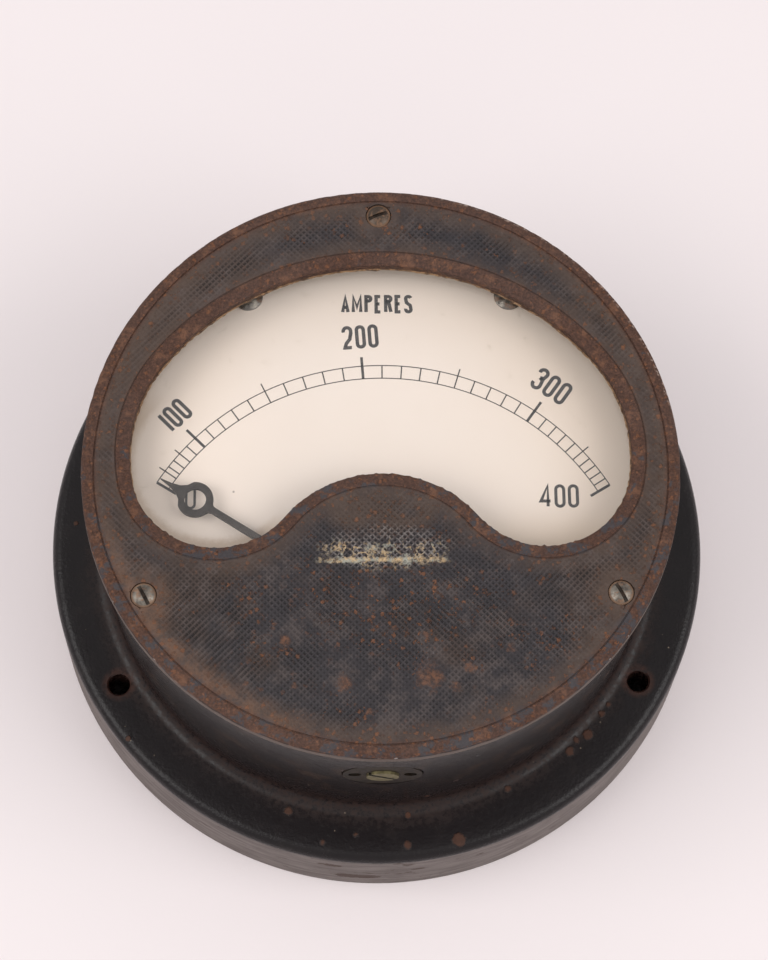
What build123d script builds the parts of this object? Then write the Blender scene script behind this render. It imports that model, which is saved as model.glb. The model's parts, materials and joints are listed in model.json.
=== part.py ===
from build123d import *
import math
import os

# A round switchboard ammeter lying on its back: +Z comes out of the dial, +Y points at
# twelve o'clock, and the origin is the centre of the case's back rim. Millimetres.

# Case: a shallow pan with a mounting flange, and a tube that rises from it.
PAN_FOOT_R = 102.2
PAN_TOP_R = 101.6
FLANGE_TOP_Z = 32.4
FLANGE_EDGE_ROUND = 3.2
PAN_WALL = 4.0
WEB_Z = 28.5
TUBE_R = 84.2
TUBE_BORE_R = 80.2
TUBE_TOP_Z = 99.4
TUBE_FOOT_ROUND = 4.2

# Mounting holes through the flange, each in a boss that reaches the wall behind.
MOUNT_ANGLES = (90, 210, 330)
MOUNT_R = 92.0
MOUNT_HOLE_R = 3.3
MOUNT_BOSS_R = 7.5

# Front cover, its gasket and its three screws.
COVER_R = 86.25
COVER_FACE_Z = 104.5
COVER_SKIRT_Z = 100.0
COVER_UNDER_Z = 101.1
COVER_SKIRT_BORE_R = 80.4
COVER_EDGE_ROUND = 1.8
COVER_LINE_R = 82.4
LINE_WIDTH = 0.5
LINE_DEPTH = 0.4
COVER_SCREW_R = 77.8
COVER_SCREW_HEAD_R = 3.65
COVER_SCREW_SHANK_R = 2.0
COVER_SCREW_SEAT_Z = 103.2
COVER_LUG_R = 5.0
COVER_LUG_FOOT_Z = 84.0

# Kidney-shaped window: a flat top arc, two shoulders, two lobes and a nose, all tangent.
WINDOW_TOP_CENTRE_Y = -17.8
WINDOW_TOP_R = 80.0
WINDOW_SHOULDER_R = 45.0
WINDOW_LOBE_CENTRE = (47.0, 0.2)
WINDOW_LOBE_R = 25.0
WINDOW_NOSE_CENTRE_Y = -38.9
WINDOW_BEVEL_WIDTH = 3.6
WINDOW_BEVEL_DEPTH = 0.8

# Window glass, bedded under the cover.
GLASS_R = 75.2
GLASS_TOP_Y = 68.0
GLASS_LOW_Y = -31.0
GLASS_TOP_Z = 100.6
GLASS_THICK = 2.2
CLIP_PLACES = ((20.0, 1), (-20.0, 1), (34.0, -1), (-34.0, -1))
CLIP_WIDTH = 8.0
CLIP_THICK = 0.8
CLIP_FOOT = 6.8
CLIP_FINGER = 3.5

# Dial plate and the pillars that carry it.
DIAL_R = 76.4
DIAL_FACE_Z = 90.0
DIAL_THICK = 1.0
DIAL_LOW_Y = -31.0
DIAL_NOTCH_R = 6.5
DIAL_SCREW_PLACES = ((38.9, 57.6), (-38.9, 57.6), (62.0, -24.0), (-62.0, -24.0))
DIAL_SCREW_HEAD_R = 4.4
DIAL_PILLAR_R = 3.6

# Insulating back plate, held up against the web of the case.
PLATE_R = 83.5
PLATE_BACK_Z = 22.5
PLATE_SCREW_R = 75.5
PLATE_LUG_R = 5.5
PLATE_LUG_TOP_Z = 37.0
M4_SHANK_R = 1.9
M4_HOLE_R = 2.05
REAR_HEAD_R = 3.8
REAR_HEAD_HIGH = 1.8

# Terminals.
TERMINAL_PLACES = ((26.0, 22.0), (-26.0, 22.0))
STUD_R = 4.0
STUD_END_Z = 3.0
STUD_TOP_Z = 41.0
STUD_CHAMFER = 0.6
PILOT_R = 3.6
PILOT_TOP_Z = 9.6
M8_NUT_FLATS = 13.0
LEAD_R = 1.5

# Movement: everything is set out from the pointer's pivot.
PIVOT = (0.0, -42.0)
REST_ANGLE = 147.2
TAIL_ANGLE = REST_ANGLE - 180.0
SWEEP_UP = 119.0
SWEEP_BACK = 2.0
BASE_TOP_Z = 31.5
PILLAR_PLACES = ((38.0, -52.0), (-38.0, -52.0))
PILLAR_R = 3.0
PILLAR_HOLE_R = 3.05
SPACER_R = 4.5
EAR_R = 5.6
BASE_SCREW_PLACES = ((30.0, -22.0), (-30.0, -22.0), (30.0, -63.0), (-30.0, -63.0))
BOBBIN_BORE_R = 9.5
BOBBIN_TUBE_R = 11.0
BOBBIN_FLANGE_R = 26.0
BOBBIN_TOP_Z = 66.0
BOBBIN_FLANGE_THICK = 2.0
WINDING_R = 24.0
SPRING_BRIDGE_TOP_Z = 68.0
BUSH_R = 4.0
BUSH_BORE_R = 2.0
BUSH_TOP_Z = 72.0
DAMPER_FLOOR_Z = 79.5
DAMPER_TOP_Z = 88.5
DAMPER_BORE_R = 32.0
DAMPER_INNER_R = 14.0
DAMPER_SKIN = 1.0
DAMPER_MARGIN = 7.0
TOP_BRIDGE_Z = 96.5
BRIDGE_THICK = 2.0

# Spindle and what it carries.
SPINDLE_R = 1.25
SPINDLE_FOOT_Z = 35.35
SPINDLE_TOP_Z = 97.15
SPINDLE_CONE = 1.85
TIP_R = 0.08
JEWEL_R = 1.5
JEWEL_PIT_R = 0.7
JEWEL_PIT_DEPTH = 0.8
BEARING_SCREW_R = 3.0
HUB_R = 3.2
HUB_Z = (92.0, 95.2)
POINTER_Z = (93.2, 94.4)
POINTER_RING_CENTRE = 63.9
POINTER_RING_R = 4.9
POINTER_RING_BORE_R = 2.7
POINTER_TIP = 76.0
STOP_POST_R = 0.8
STOP_POST_CIRCLE = 15.5
TAIL_R = 0.5
TAIL_END = 17.5
TAIL_Z = 93.8
VANE_Z = 84.5

# Hairspring and zero adjuster.
SPRING_Z = (74.0, 75.2)
SPRING_INNER_R = 3.05
SPRING_OUTER_R = 11.6
SPRING_TURNS = 6
SPRING_STRIP = 0.25
SPRING_STUD_CIRCLE = 12.4
LEVER_Z = (69.0, 71.0)
LEVER_BORE_R = 4.05
LEVER_RING_R = 7.4
ADJUSTER_Z = 73.0
ADJUSTER_SEAT_Y = -82.6
ADJUSTER_PLATE_R = 11.5
ADJUSTER_BODY_R = 7.0
SPANNER_HOLE_X = 8.0
SPANNER_HOLE_R = 1.9
ZERO_SHAFT_R = 2.7
ZERO_PIN_R = 1.0
ZERO_PIN_OFFSET = 1.5
FORK_CLEARANCE = 0.12
FORK_Y = (-24.8, -21.4)

RUN = 0.05
BOTTOM = (Align.CENTER, Align.CENTER, Align.MIN)


def rod(radius, low, high, x=0.0, y=0.0):
    """A cylinder along Z between two heights."""
    return Pos(x, y, low) * Cylinder(radius, high - low, align=BOTTOM)


def tube(outer, bore, low, high, x=0.0, y=0.0):
    return rod(outer, low, high, x, y) - rod(bore, low - 1, high + 1, x, y)


def block(x0, x1, y0, y1, z0, z1):
    size = Box(x1 - x0, y1 - y0, z1 - z0)
    return Pos((x0 + x1) / 2, (y0 + y1) / 2, (z0 + z1) / 2) * size


def nut(flats, bore, low, high, x=0.0, y=0.0):
    hexagon = RegularPolygon(flats / 2, 6, major_radius=False)
    body = Pos(x, y, low) * extrude(hexagon, high - low)
    return body - rod(bore, low - 1, high + 1, x, y)


def bar(start, end, width, low, high):
    """A flat round-ended bar between two points."""
    length = math.dist(start, end)
    angle = math.degrees(math.atan2(end[1] - start[1], end[0] - start[0]))
    middle = ((start[0] + end[0]) / 2, (start[1] + end[1]) / 2)
    shape = Pos(middle[0], middle[1]) * Rot(0, 0, angle) * Rectangle(length, width)
    shape += Pos(*start) * Circle(width / 2)
    shape += Pos(*end) * Circle(width / 2)
    return Pos(0, 0, low) * extrude(shape, high - low)


def on_circle(radius, angle, centre=(0.0, 0.0)):
    turn = math.radians(angle)
    return (centre[0] + radius * math.cos(turn), centre[1] + radius * math.sin(turn))


def about_pivot(shape, angle=0.0):
    """Turn a shape that was drawn about the origin, and put it on the pointer's axis."""
    return Pos(PIVOT[0], PIVOT[1], 0) * Rot(0, 0, angle) * shape


def turned(points, rounds=()):
    """A solid of revolution from (radius, height) points; rounds are (point, radius) pairs."""
    face = make_face(Polyline(*points, close=True))
    for place, radius in rounds:
        corner = face.vertices().sort_by_distance(Vector(*place, 0))[0]
        face = fillet(corner, radius)
    return revolve(Plane.XZ * face, Axis.Z)


def slotted_head(radius, low, high, x, y, slot_angle=0.0, dome=0.0):
    """A round screw head; dome is how much lower its edge is than its crown."""
    head = rod(radius, low, high, x, y)
    if dome:
        sphere_r = (radius * radius + dome * dome) / (2 * dome)
        head = head & (Pos(x, y, high - sphere_r) * Sphere(sphere_r))
    slot = Pos(x, y, high) * Rot(0, 0, slot_angle) * Box(3 * radius, radius * 0.28, radius * 0.44)
    return head - slot


def sector(outer, inner, first, last, low, high):
    """A ring sector between two angles, drawn about the origin."""
    steps = 8
    angles = [first + (last - first) * i / steps for i in range(steps + 1)]
    wedge = [(0.0, 0.0)] + [on_circle(outer * 1.3, a) for a in angles]
    shape = Pos(0, 0, low) * extrude(make_face(Polyline(*wedge, close=True)), high - low)
    return shape & tube(outer, inner, low, high)


# --- window outline ---------------------------------------------------------------------------

def shoulder_centre():
    """Centre of the right shoulder arc, tangent inside the top arc and outside the lobe."""
    to_top = WINDOW_TOP_R - WINDOW_SHOULDER_R
    to_lobe = WINDOW_SHOULDER_R - WINDOW_LOBE_R
    top = Vector(0, WINDOW_TOP_CENTRE_Y)
    lobe = Vector(*WINDOW_LOBE_CENTRE)
    gap = (lobe - top).length
    along = (to_top ** 2 - to_lobe ** 2 + gap ** 2) / (2 * gap)
    across = math.sqrt(to_top ** 2 - along ** 2)
    ahead = (lobe - top).normalized()
    left = Vector(-ahead.Y, ahead.X)
    return top + ahead * along + left * across


def arc_between(centre, radius, start, end):
    """The arc about a centre, from one point's direction to another's, the short way."""
    first = (start - centre).normalized()
    last = (end - centre).normalized()
    middle = (first + last).normalized()
    return ThreePointArc(centre + first * radius, centre + middle * radius, centre + last * radius)


def window_face(grow=0.0):
    """The kidney outline, offset outwards by grow."""
    top = Vector(0, WINDOW_TOP_CENTRE_Y)
    nose = Vector(0, WINDOW_NOSE_CENTRE_Y)
    lobe = Vector(*WINDOW_LOBE_CENTRE)
    shoulder = shoulder_centre()
    nose_r = (lobe - nose).length - WINDOW_LOBE_R
    flip = lambda p: Vector(-p.X, p.Y)
    high = top + (shoulder - top).normalized() * WINDOW_TOP_R
    side = shoulder + (lobe - shoulder).normalized() * WINDOW_SHOULDER_R
    foot = lobe + (nose - lobe).normalized() * WINDOW_LOBE_R
    low_lobe = lobe + Vector(0.4, -1).normalized() * WINDOW_LOBE_R
    arcs = [
        arc_between(top, WINDOW_TOP_R + grow, flip(high), high),
        arc_between(shoulder, WINDOW_SHOULDER_R + grow, high, side),
        arc_between(lobe, WINDOW_LOBE_R + grow, side, low_lobe),
        arc_between(lobe, WINDOW_LOBE_R + grow, low_lobe, foot),
        arc_between(nose, nose_r - grow, foot, flip(foot)),
        arc_between(flip(lobe), WINDOW_LOBE_R + grow, flip(foot), flip(low_lobe)),
        arc_between(flip(lobe), WINDOW_LOBE_R + grow, flip(low_lobe), flip(side)),
        arc_between(flip(shoulder), WINDOW_SHOULDER_R + grow, flip(side), flip(high)),
    ]
    return make_face(Wire(arcs))


def glass_face(grow=0.0):
    disc = Circle(GLASS_R + grow)
    span = 2 * GLASS_R + 10
    high = GLASS_TOP_Y + grow
    low = GLASS_LOW_Y - grow
    return disc & (Pos(0, (high + low) / 2) * Rectangle(span, high - low))


# --- case -------------------------------------------------------------------------------------

def case_shell():
    outer_edge = (PAN_TOP_R, FLANGE_TOP_Z)
    foot = (TUBE_R, FLANGE_TOP_Z)
    body = turned([
        (PAN_FOOT_R, 0), outer_edge, foot, (TUBE_R, TUBE_TOP_Z), (TUBE_BORE_R, TUBE_TOP_Z),
        (TUBE_BORE_R, WEB_Z), (PAN_TOP_R - PAN_WALL, WEB_Z), (PAN_FOOT_R - PAN_WALL, 0),
    ], [(outer_edge, FLANGE_EDGE_ROUND), (foot, TUBE_FOOT_ROUND)])
    inside_tube = rod(TUBE_BORE_R + 1, WEB_Z, TUBE_TOP_Z)
    inside_pan = rod(PAN_TOP_R - PAN_WALL + 1, 0, WEB_Z + 1)
    for angle in MOUNT_ANGLES:
        boss = rod(MOUNT_BOSS_R, 0, WEB_Z + 1, *on_circle(MOUNT_R, angle))
        lug = rod(COVER_LUG_R, COVER_LUG_FOOT_Z, TUBE_TOP_Z, *on_circle(COVER_SCREW_R, angle))
        body += (boss & inside_pan) + (lug & inside_tube)
    for angle in (45, 135, 225, 315):
        lug = rod(PLATE_LUG_R, WEB_Z, PLATE_LUG_TOP_Z, *on_circle(PLATE_SCREW_R, angle))
        body += lug & inside_tube
    for angle in MOUNT_ANGLES:
        body -= rod(MOUNT_HOLE_R, -1, FLANGE_TOP_Z + 5, *on_circle(MOUNT_R, angle))
        tapped = (COVER_SCREW_SHANK_R + RUN, COVER_LUG_FOOT_Z + 2, TUBE_TOP_Z + 1)
        body -= rod(*tapped, *on_circle(COVER_SCREW_R, angle))
    for angle in (45, 135, 225, 315):
        body -= rod(M4_HOLE_R, WEB_Z - 1, PLATE_LUG_TOP_Z - 1.5, *on_circle(PLATE_SCREW_R, angle))
    return body - adjuster_seat()


def along_y(radius, start, end, x=0.0, z=ADJUSTER_Z):
    """A cylinder along Y between two places."""
    length = abs(end - start)
    return Pos(x, (start + end) / 2, z) * Rot(90, 0, 0) * Cylinder(radius, length)


def adjuster_seat():
    """The flat spot face and the hole for the zero adjuster, at six o'clock in the tube."""
    spot = along_y(ADJUSTER_PLATE_R + 0.3, ADJUSTER_SEAT_Y, ADJUSTER_SEAT_Y - 5)
    return spot + along_y(ADJUSTER_BODY_R + 0.1, ADJUSTER_SEAT_Y + 6, ADJUSTER_SEAT_Y - 5)


# --- cover and glass --------------------------------------------------------------------------

def front_cover():
    top_edge = (COVER_R, COVER_FACE_Z)
    body = turned([
        (0, COVER_UNDER_Z), (COVER_SKIRT_BORE_R, COVER_UNDER_Z),
        (COVER_SKIRT_BORE_R, COVER_SKIRT_Z), (COVER_R, COVER_SKIRT_Z), top_edge,
        (0, COVER_FACE_Z),
    ], [(top_edge, COVER_EDGE_ROUND)])
    for angle in MOUNT_ANGLES:
        pad = rod(COVER_LUG_R - 0.4, TUBE_TOP_Z, COVER_UNDER_Z + 1, *on_circle(COVER_SCREW_R, angle))
        body += pad & rod(TUBE_BORE_R, TUBE_TOP_Z, COVER_UNDER_Z + 1)
    for angle in MOUNT_ANGLES:
        place = on_circle(COVER_SCREW_R, angle)
        body -= rod(COVER_SCREW_SHANK_R + 0.2, TUBE_TOP_Z - 1, COVER_FACE_Z + 1, *place)
        body -= rod(COVER_SCREW_HEAD_R + 0.45, COVER_SCREW_SEAT_Z, COVER_FACE_Z + 1, *place)
    body -= Pos(0, 0, COVER_UNDER_Z - 1) * extrude(window_face(), 10)
    rim = Pos(0, 0, COVER_FACE_Z) * window_face(WINDOW_BEVEL_WIDTH)
    lip = Pos(0, 0, COVER_FACE_Z - WINDOW_BEVEL_DEPTH) * window_face()
    body -= loft([lip, rim], ruled=True)
    groove = LINE_WIDTH / 2
    low = COVER_FACE_Z - LINE_DEPTH
    body -= tube(COVER_LINE_R + groove, COVER_LINE_R - groove, low, COVER_FACE_Z + 1)
    line = window_face(WINDOW_BEVEL_WIDTH + 0.6) - window_face(WINDOW_BEVEL_WIDTH + 0.1)
    body -= Pos(0, 0, low) * extrude(line, 1)
    for x, side in CLIP_PLACES:
        body -= rod(1.5, COVER_UNDER_Z - 1, COVER_UNDER_Z + 2.4, x, clip_screw_y(side))
    return body


def cover_gasket():
    return tube(TUBE_R - 0.2, TUBE_BORE_R + 0.4, TUBE_TOP_Z, COVER_SKIRT_Z)


def cover_screws():
    screws = []
    for angle, slot in zip(MOUNT_ANGLES, (20, -62, -62)):
        x, y = on_circle(COVER_SCREW_R, angle)
        top = COVER_FACE_Z + 0.9
        head = slotted_head(COVER_SCREW_HEAD_R, COVER_SCREW_SEAT_Z, top, x, y, slot, dome=1.1)
        screws.append(head + rod(COVER_SCREW_SHANK_R, COVER_LUG_FOOT_Z + 3, COVER_SCREW_SEAT_Z, x, y))
    return screws


def window_glass():
    low = GLASS_TOP_Z - GLASS_THICK
    return Pos(0, 0, low) * extrude(glass_face(), GLASS_THICK)


def glass_gasket():
    ring = glass_face(-0.5) - window_face(0.4)
    return Pos(0, 0, GLASS_TOP_Z) * extrude(ring, COVER_UNDER_Z - GLASS_TOP_Z)


def clip_edge_y(side):
    return GLASS_TOP_Y if side > 0 else GLASS_LOW_Y


def clip_screw_y(side):
    return clip_edge_y(side) + side * (1.0 + CLIP_FOOT / 2)


def glass_clips():
    """Four stepped strips that hold the glass up against the cover."""
    clips = []
    for x, side in CLIP_PLACES:
        edge = clip_edge_y(side)
        near, far = sorted((edge + side * 0.4, edge + side * (1.0 + CLIP_FOOT)))
        x0, x1 = x - CLIP_WIDTH / 2, x + CLIP_WIDTH / 2
        foot = block(x0, x1, near, far, COVER_UNDER_Z - CLIP_THICK, COVER_UNDER_Z)
        glass_low = GLASS_TOP_Z - GLASS_THICK
        step_a, step_b = sorted((edge + side * 0.4, edge + side * 1.2))
        step = block(x0, x1, step_a, step_b, glass_low - CLIP_THICK, COVER_UNDER_Z)
        tip_a, tip_b = sorted((edge + side * 1.2, edge - side * CLIP_FINGER))
        finger = block(x0, x1, tip_a, tip_b, glass_low - CLIP_THICK, glass_low)
        clip = foot + step + finger
        clips.append(clip - rod(1.6, COVER_UNDER_Z - 2, COVER_UNDER_Z + 1, x, clip_screw_y(side)))
    return clips


def glass_clip_screws():
    screws = []
    low = COVER_UNDER_Z - CLIP_THICK
    for x, side in CLIP_PLACES:
        y = clip_screw_y(side)
        head = rod(2.6, low - 1.3, low, x, y) - block(x - 4, x + 4, y - 0.35, y + 0.35, low - 2, low - 0.8)
        screws.append(head + rod(1.45, low, COVER_UNDER_Z + 2.2, x, y))
    return screws


# --- dial -------------------------------------------------------------------------------------

def dial_plate():
    disc = Circle(DIAL_R)
    keep = Pos(0, DIAL_LOW_Y + DIAL_R) * Rectangle(4 * DIAL_R, 2 * DIAL_R)
    plate = (disc & keep) - Pos(0, COVER_SCREW_R) * Circle(DIAL_NOTCH_R)
    for place in DIAL_SCREW_PLACES:
        plate -= Pos(*place) * Circle(M4_HOLE_R)
    return Pos(0, 0, DIAL_FACE_Z - DIAL_THICK) * extrude(plate, DIAL_THICK)


def dial_screws():
    screws = []
    for (x, y), slot in zip(DIAL_SCREW_PLACES, (35, -20, 10, 70)):
        head = slotted_head(DIAL_SCREW_HEAD_R, DIAL_FACE_Z, DIAL_FACE_Z + 2, x, y, slot, dome=1.3)
        screws.append(head + rod(M4_SHANK_R, DIAL_FACE_Z - 9, DIAL_FACE_Z, x, y))
    return screws


def dial_pillars():
    pillars = []
    top = DIAL_FACE_Z - DIAL_THICK
    for x, y in DIAL_SCREW_PLACES:
        pillar = rod(DIAL_PILLAR_R, WEB_Z, top, x, y)
        pillar -= rod(M4_SHANK_R + RUN, top - 10, top + 1, x, y)
        pillars.append(pillar - rod(M4_SHANK_R + RUN, WEB_Z - 1, WEB_Z + 10, x, y))
    return pillars


# --- back plate and terminals -----------------------------------------------------------------

def plate_screw_places():
    return [on_circle(PLATE_SCREW_R, angle) for angle in (45, 135, 225, 315)]


def back_plate():
    plate = rod(PLATE_R, PLATE_BACK_Z, WEB_Z)
    for x, y in list(DIAL_SCREW_PLACES) + list(BASE_SCREW_PLACES) + plate_screw_places():
        plate -= rod(M4_HOLE_R, PLATE_BACK_Z - 1, WEB_Z + 1, x, y)
    for x, y in TERMINAL_PLACES:
        plate -= rod(STUD_R + 0.1, PLATE_BACK_Z - 1, WEB_Z + 1, x, y)
    return plate - rod(BEARING_SCREW_R + 1.5, PLATE_BACK_Z - 1, WEB_Z + 1, *PIVOT)


def rear_screws(places, end_z):
    """Cheese-head screws put in from behind, through the back plate."""
    screws = []
    for i, (x, y) in enumerate(places):
        low = PLATE_BACK_Z - REAR_HEAD_HIGH
        head = rod(REAR_HEAD_R, low, PLATE_BACK_Z, x, y)
        slot = Pos(x, y, low) * Rot(0, 0, 40 * i) * Box(3 * REAR_HEAD_R, 1.0, 1.6)
        screws.append((head - slot) + rod(M4_SHANK_R, PLATE_BACK_Z, end_z, x, y))
    return screws


def terminal_studs():
    """Two studs, each with a plain pilot at its free end, below the stretch with the nuts."""
    shoulder_z = PILOT_TOP_Z + STUD_R - PILOT_R
    stud = turned([
        (0, STUD_END_Z), (PILOT_R - STUD_CHAMFER, STUD_END_Z), (PILOT_R, STUD_END_Z + STUD_CHAMFER),
        (PILOT_R, PILOT_TOP_Z), (STUD_R, shoulder_z), (STUD_R, STUD_TOP_Z - STUD_CHAMFER),
        (STUD_R - STUD_CHAMFER, STUD_TOP_Z), (0, STUD_TOP_Z),
    ])
    return at_terminals(lambda x, y: Pos(x, y, 0) * stud)


def at_terminals(make):
    return [make(x, y) for x, y in TERMINAL_PLACES]


def terminal_washers():
    high = PLATE_BACK_Z
    return at_terminals(lambda x, y: tube(8.5, STUD_R + RUN, high - 1.5, high, x, y))


def terminal_nuts():
    """A clamping nut against the washer and a wiring nut below it on each stud."""
    clamping = at_terminals(lambda x, y: nut(M8_NUT_FLATS, STUD_R + RUN, 15.5, 21.0, x, y))
    wiring = at_terminals(lambda x, y: nut(M8_NUT_FLATS, STUD_R + RUN, 10.0, 14.5, x, y))
    return clamping + wiring


def terminal_inner_nuts():
    below = at_terminals(lambda x, y: nut(M8_NUT_FLATS, STUD_R + RUN, WEB_Z, 33.5, x, y))
    above = at_terminals(lambda x, y: nut(M8_NUT_FLATS, STUD_R + RUN, 34.7, 39.5, x, y))
    return below + above


def terminal_tags():
    tags = []
    for x, y in TERMINAL_PLACES:
        tag = rod(7.5, 33.5, 34.7, x, y) + block(x - 3, x + 3, y - 17, y, 33.5, 34.7)
        tags.append(tag - rod(STUD_R + RUN, 33, 36, x, y))
    return tags


def coil_leads():
    """Two round leads, from on top of the tags to the outside of the winding."""
    leads = []
    for x, y in TERMINAL_PLACES:
        side = math.copysign(1, x)
        level = 34.7 + LEAD_R
        path = FilletPolyline(
            (x, y - 8.5, level), (x, y - 20, level), (side * 13, -13.5, 41.0), (side * 9.5, -20.5, 43.5),
            radius=4.0,
        )
        section = Plane(origin=path @ 0, z_dir=path % 0) * Circle(LEAD_R)
        leads.append(sweep(section, path))
    return leads


# --- movement frame ---------------------------------------------------------------------------

def movement_base():
    plate = block(-44, 44, -69.5, -15, WEB_Z, BASE_TOP_Z)
    plate = plate & rod(TUBE_BORE_R - 2.5, WEB_Z, BASE_TOP_Z)
    for x, y in BASE_SCREW_PLACES:
        plate -= rod(M4_SHANK_R + RUN, WEB_Z - 1, BASE_TOP_Z + 1, x, y)
    for x, y in PILLAR_PLACES:
        plate -= rod(PILLAR_HOLE_R, WEB_Z - 1, BASE_TOP_Z + 1, x, y)
    return plate - rod(BEARING_SCREW_R + RUN, WEB_Z - 1, BASE_TOP_Z + 1, *PIVOT)


def frame_pillars():
    top = TOP_BRIDGE_Z + BRIDGE_THICK + 1.9
    return [rod(PILLAR_R, WEB_Z, top, x, y) for x, y in PILLAR_PLACES]


def pillar_spacers():
    """Three spacer tubes on each pillar, clamping the bridges and the damper box in place."""
    levels = (
        (BASE_TOP_Z, BOBBIN_TOP_Z), (SPRING_BRIDGE_TOP_Z, DAMPER_FLOOR_Z),
        (DAMPER_FLOOR_Z + 1.5, TOP_BRIDGE_Z),
    )
    return [tube(SPACER_R, PILLAR_HOLE_R, low, high, x, y) for x, y in PILLAR_PLACES for low, high in levels]


def pillar_nuts():
    low = TOP_BRIDGE_Z + BRIDGE_THICK
    return [nut(9.0, PILLAR_HOLE_R, low, low + 1.8, x, y) for x, y in PILLAR_PLACES]


def bridge(low, high, bore):
    """A flat V-shaped bridge from one pillar, over the pivot, to the other pillar."""
    body = rod(7.0, low, high, *PIVOT)
    for place in PILLAR_PLACES:
        body += bar(place, PIVOT, 2 * EAR_R, low, high)
    for x, y in PILLAR_PLACES:
        body -= rod(PILLAR_HOLE_R, low - 1, high + 1, x, y)
    return body - rod(bore, low - 1, high + 1, *PIVOT)


def spring_bridge():
    bush = tube(BUSH_R, BUSH_BORE_R, BOBBIN_TOP_Z, BUSH_TOP_Z, *PIVOT)
    return bridge(BOBBIN_TOP_Z, SPRING_BRIDGE_TOP_Z, BUSH_BORE_R) + bush


def top_bridge():
    return bridge(TOP_BRIDGE_Z, TOP_BRIDGE_Z + BRIDGE_THICK, BEARING_SCREW_R + RUN)


def coil_bobbin():
    low_flange = BASE_TOP_Z + BOBBIN_FLANGE_THICK
    high_flange = BOBBIN_TOP_Z - BOBBIN_FLANGE_THICK
    body = rod(BOBBIN_TUBE_R, BASE_TOP_Z, BOBBIN_TOP_Z)
    body += rod(BOBBIN_FLANGE_R, BASE_TOP_Z, low_flange)
    body += rod(BOBBIN_FLANGE_R, high_flange, BOBBIN_TOP_Z)
    return about_pivot(body - rod(BOBBIN_BORE_R, 0, 100))


def coil_winding():
    gap = 0.1
    low = BASE_TOP_Z + BOBBIN_FLANGE_THICK + gap
    high = BOBBIN_TOP_Z - BOBBIN_FLANGE_THICK - gap
    return about_pivot(tube(WINDING_R, BOBBIN_TUBE_R + gap, low, high))


def fixed_iron():
    """A curved soft-iron plate lining part of the bobbin's bore, narrower towards one end."""
    plate = sector(BOBBIN_BORE_R - RUN, BOBBIN_BORE_R - 0.85, 20, 130, 37, 62)
    return about_pivot(plate, TAIL_ANGLE)


def bearing_screw(low, high, jewel_up):
    """A slotted jewel screw along the pivot axis, hollow at the end that holds the jewel."""
    body = rod(BEARING_SCREW_R, low, high)
    if jewel_up:
        body -= rod(JEWEL_R + 0.02, high - 1.3, high + 1)
        body -= block(-5, 5, -0.5, 0.5, low - 1, low + 1.2)
    else:
        body -= rod(JEWEL_R + 0.02, low - 1, low + 1.3)
        body -= block(-5, 5, -0.5, 0.5, high - 1.2, high + 1)
    return about_pivot(body)


def lower_bearing_screw():
    return bearing_screw(24.0, 36.0, True)


def upper_bearing_screw():
    return bearing_screw(TOP_BRIDGE_Z, TOP_BRIDGE_Z + 3.9, False)


def bearing_jewels():
    """Two sapphire cups with conical pits, which hold the spindle's points."""
    pit = Cone(0.0, JEWEL_PIT_R, JEWEL_PIT_DEPTH, align=BOTTOM)
    low_cup = rod(JEWEL_R, 36.0 - 1.25, 36.0) - Pos(0, 0, 36.0 - JEWEL_PIT_DEPTH) * pit
    high_cup = rod(JEWEL_R, TOP_BRIDGE_Z, TOP_BRIDGE_Z + 1.25)
    high_cup -= Pos(0, 0, TOP_BRIDGE_Z + JEWEL_PIT_DEPTH) * Rot(180, 0, 0) * pit
    return [about_pivot(low_cup), about_pivot(high_cup)]


def bearing_lock_nuts():
    bore = BEARING_SCREW_R + RUN
    low = nut(9.0, bore, BASE_TOP_Z, BASE_TOP_Z + 2.5)
    top = TOP_BRIDGE_Z + BRIDGE_THICK
    high = nut(9.0, bore, top, top + 1.5)
    return [about_pivot(low), about_pivot(high)]


# --- damper -----------------------------------------------------------------------------------

def damper_angles():
    """The inside of the damper box, from just past full scale to just before rest."""
    return TAIL_ANGLE - SWEEP_UP - DAMPER_MARGIN, TAIL_ANGLE + SWEEP_BACK + DAMPER_MARGIN


def damper_outline(low, high, skin):
    first, last = damper_angles()
    extra = 2.0 if skin else 0.0
    outer = DAMPER_BORE_R + skin
    inner = DAMPER_INNER_R - skin
    return about_pivot(sector(outer, inner, first - extra, last + extra, low, high))


def damper_box():
    floor_top = DAMPER_FLOOR_Z + 0.8
    box = damper_outline(DAMPER_FLOOR_Z, DAMPER_TOP_Z, DAMPER_SKIN)
    for x, y in PILLAR_PLACES:
        near = (math.copysign(27.5, x), -58.5)
        box += bar((x, y), near, 7.0, DAMPER_FLOOR_Z, DAMPER_FLOOR_Z + 1.5)
        box += rod(EAR_R, DAMPER_FLOOR_Z, DAMPER_FLOOR_Z + 1.5, x, y)
    box -= damper_outline(floor_top, DAMPER_TOP_Z + 1, 0)
    box -= about_pivot(rod(DAMPER_INNER_R + 0.1, VANE_Z - 1.2, DAMPER_TOP_Z + 1))
    for x, y in PILLAR_PLACES:
        box -= rod(PILLAR_HOLE_R, DAMPER_FLOOR_Z - 1, DAMPER_TOP_Z, x, y)
    return box


def lid_screw_places():
    first, last = damper_angles()
    middle = (first + last) / 2
    radius = DAMPER_BORE_R + 2.2
    return [on_circle(radius, a, PIVOT) for a in (first + 12, middle, last - 12)]


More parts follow.
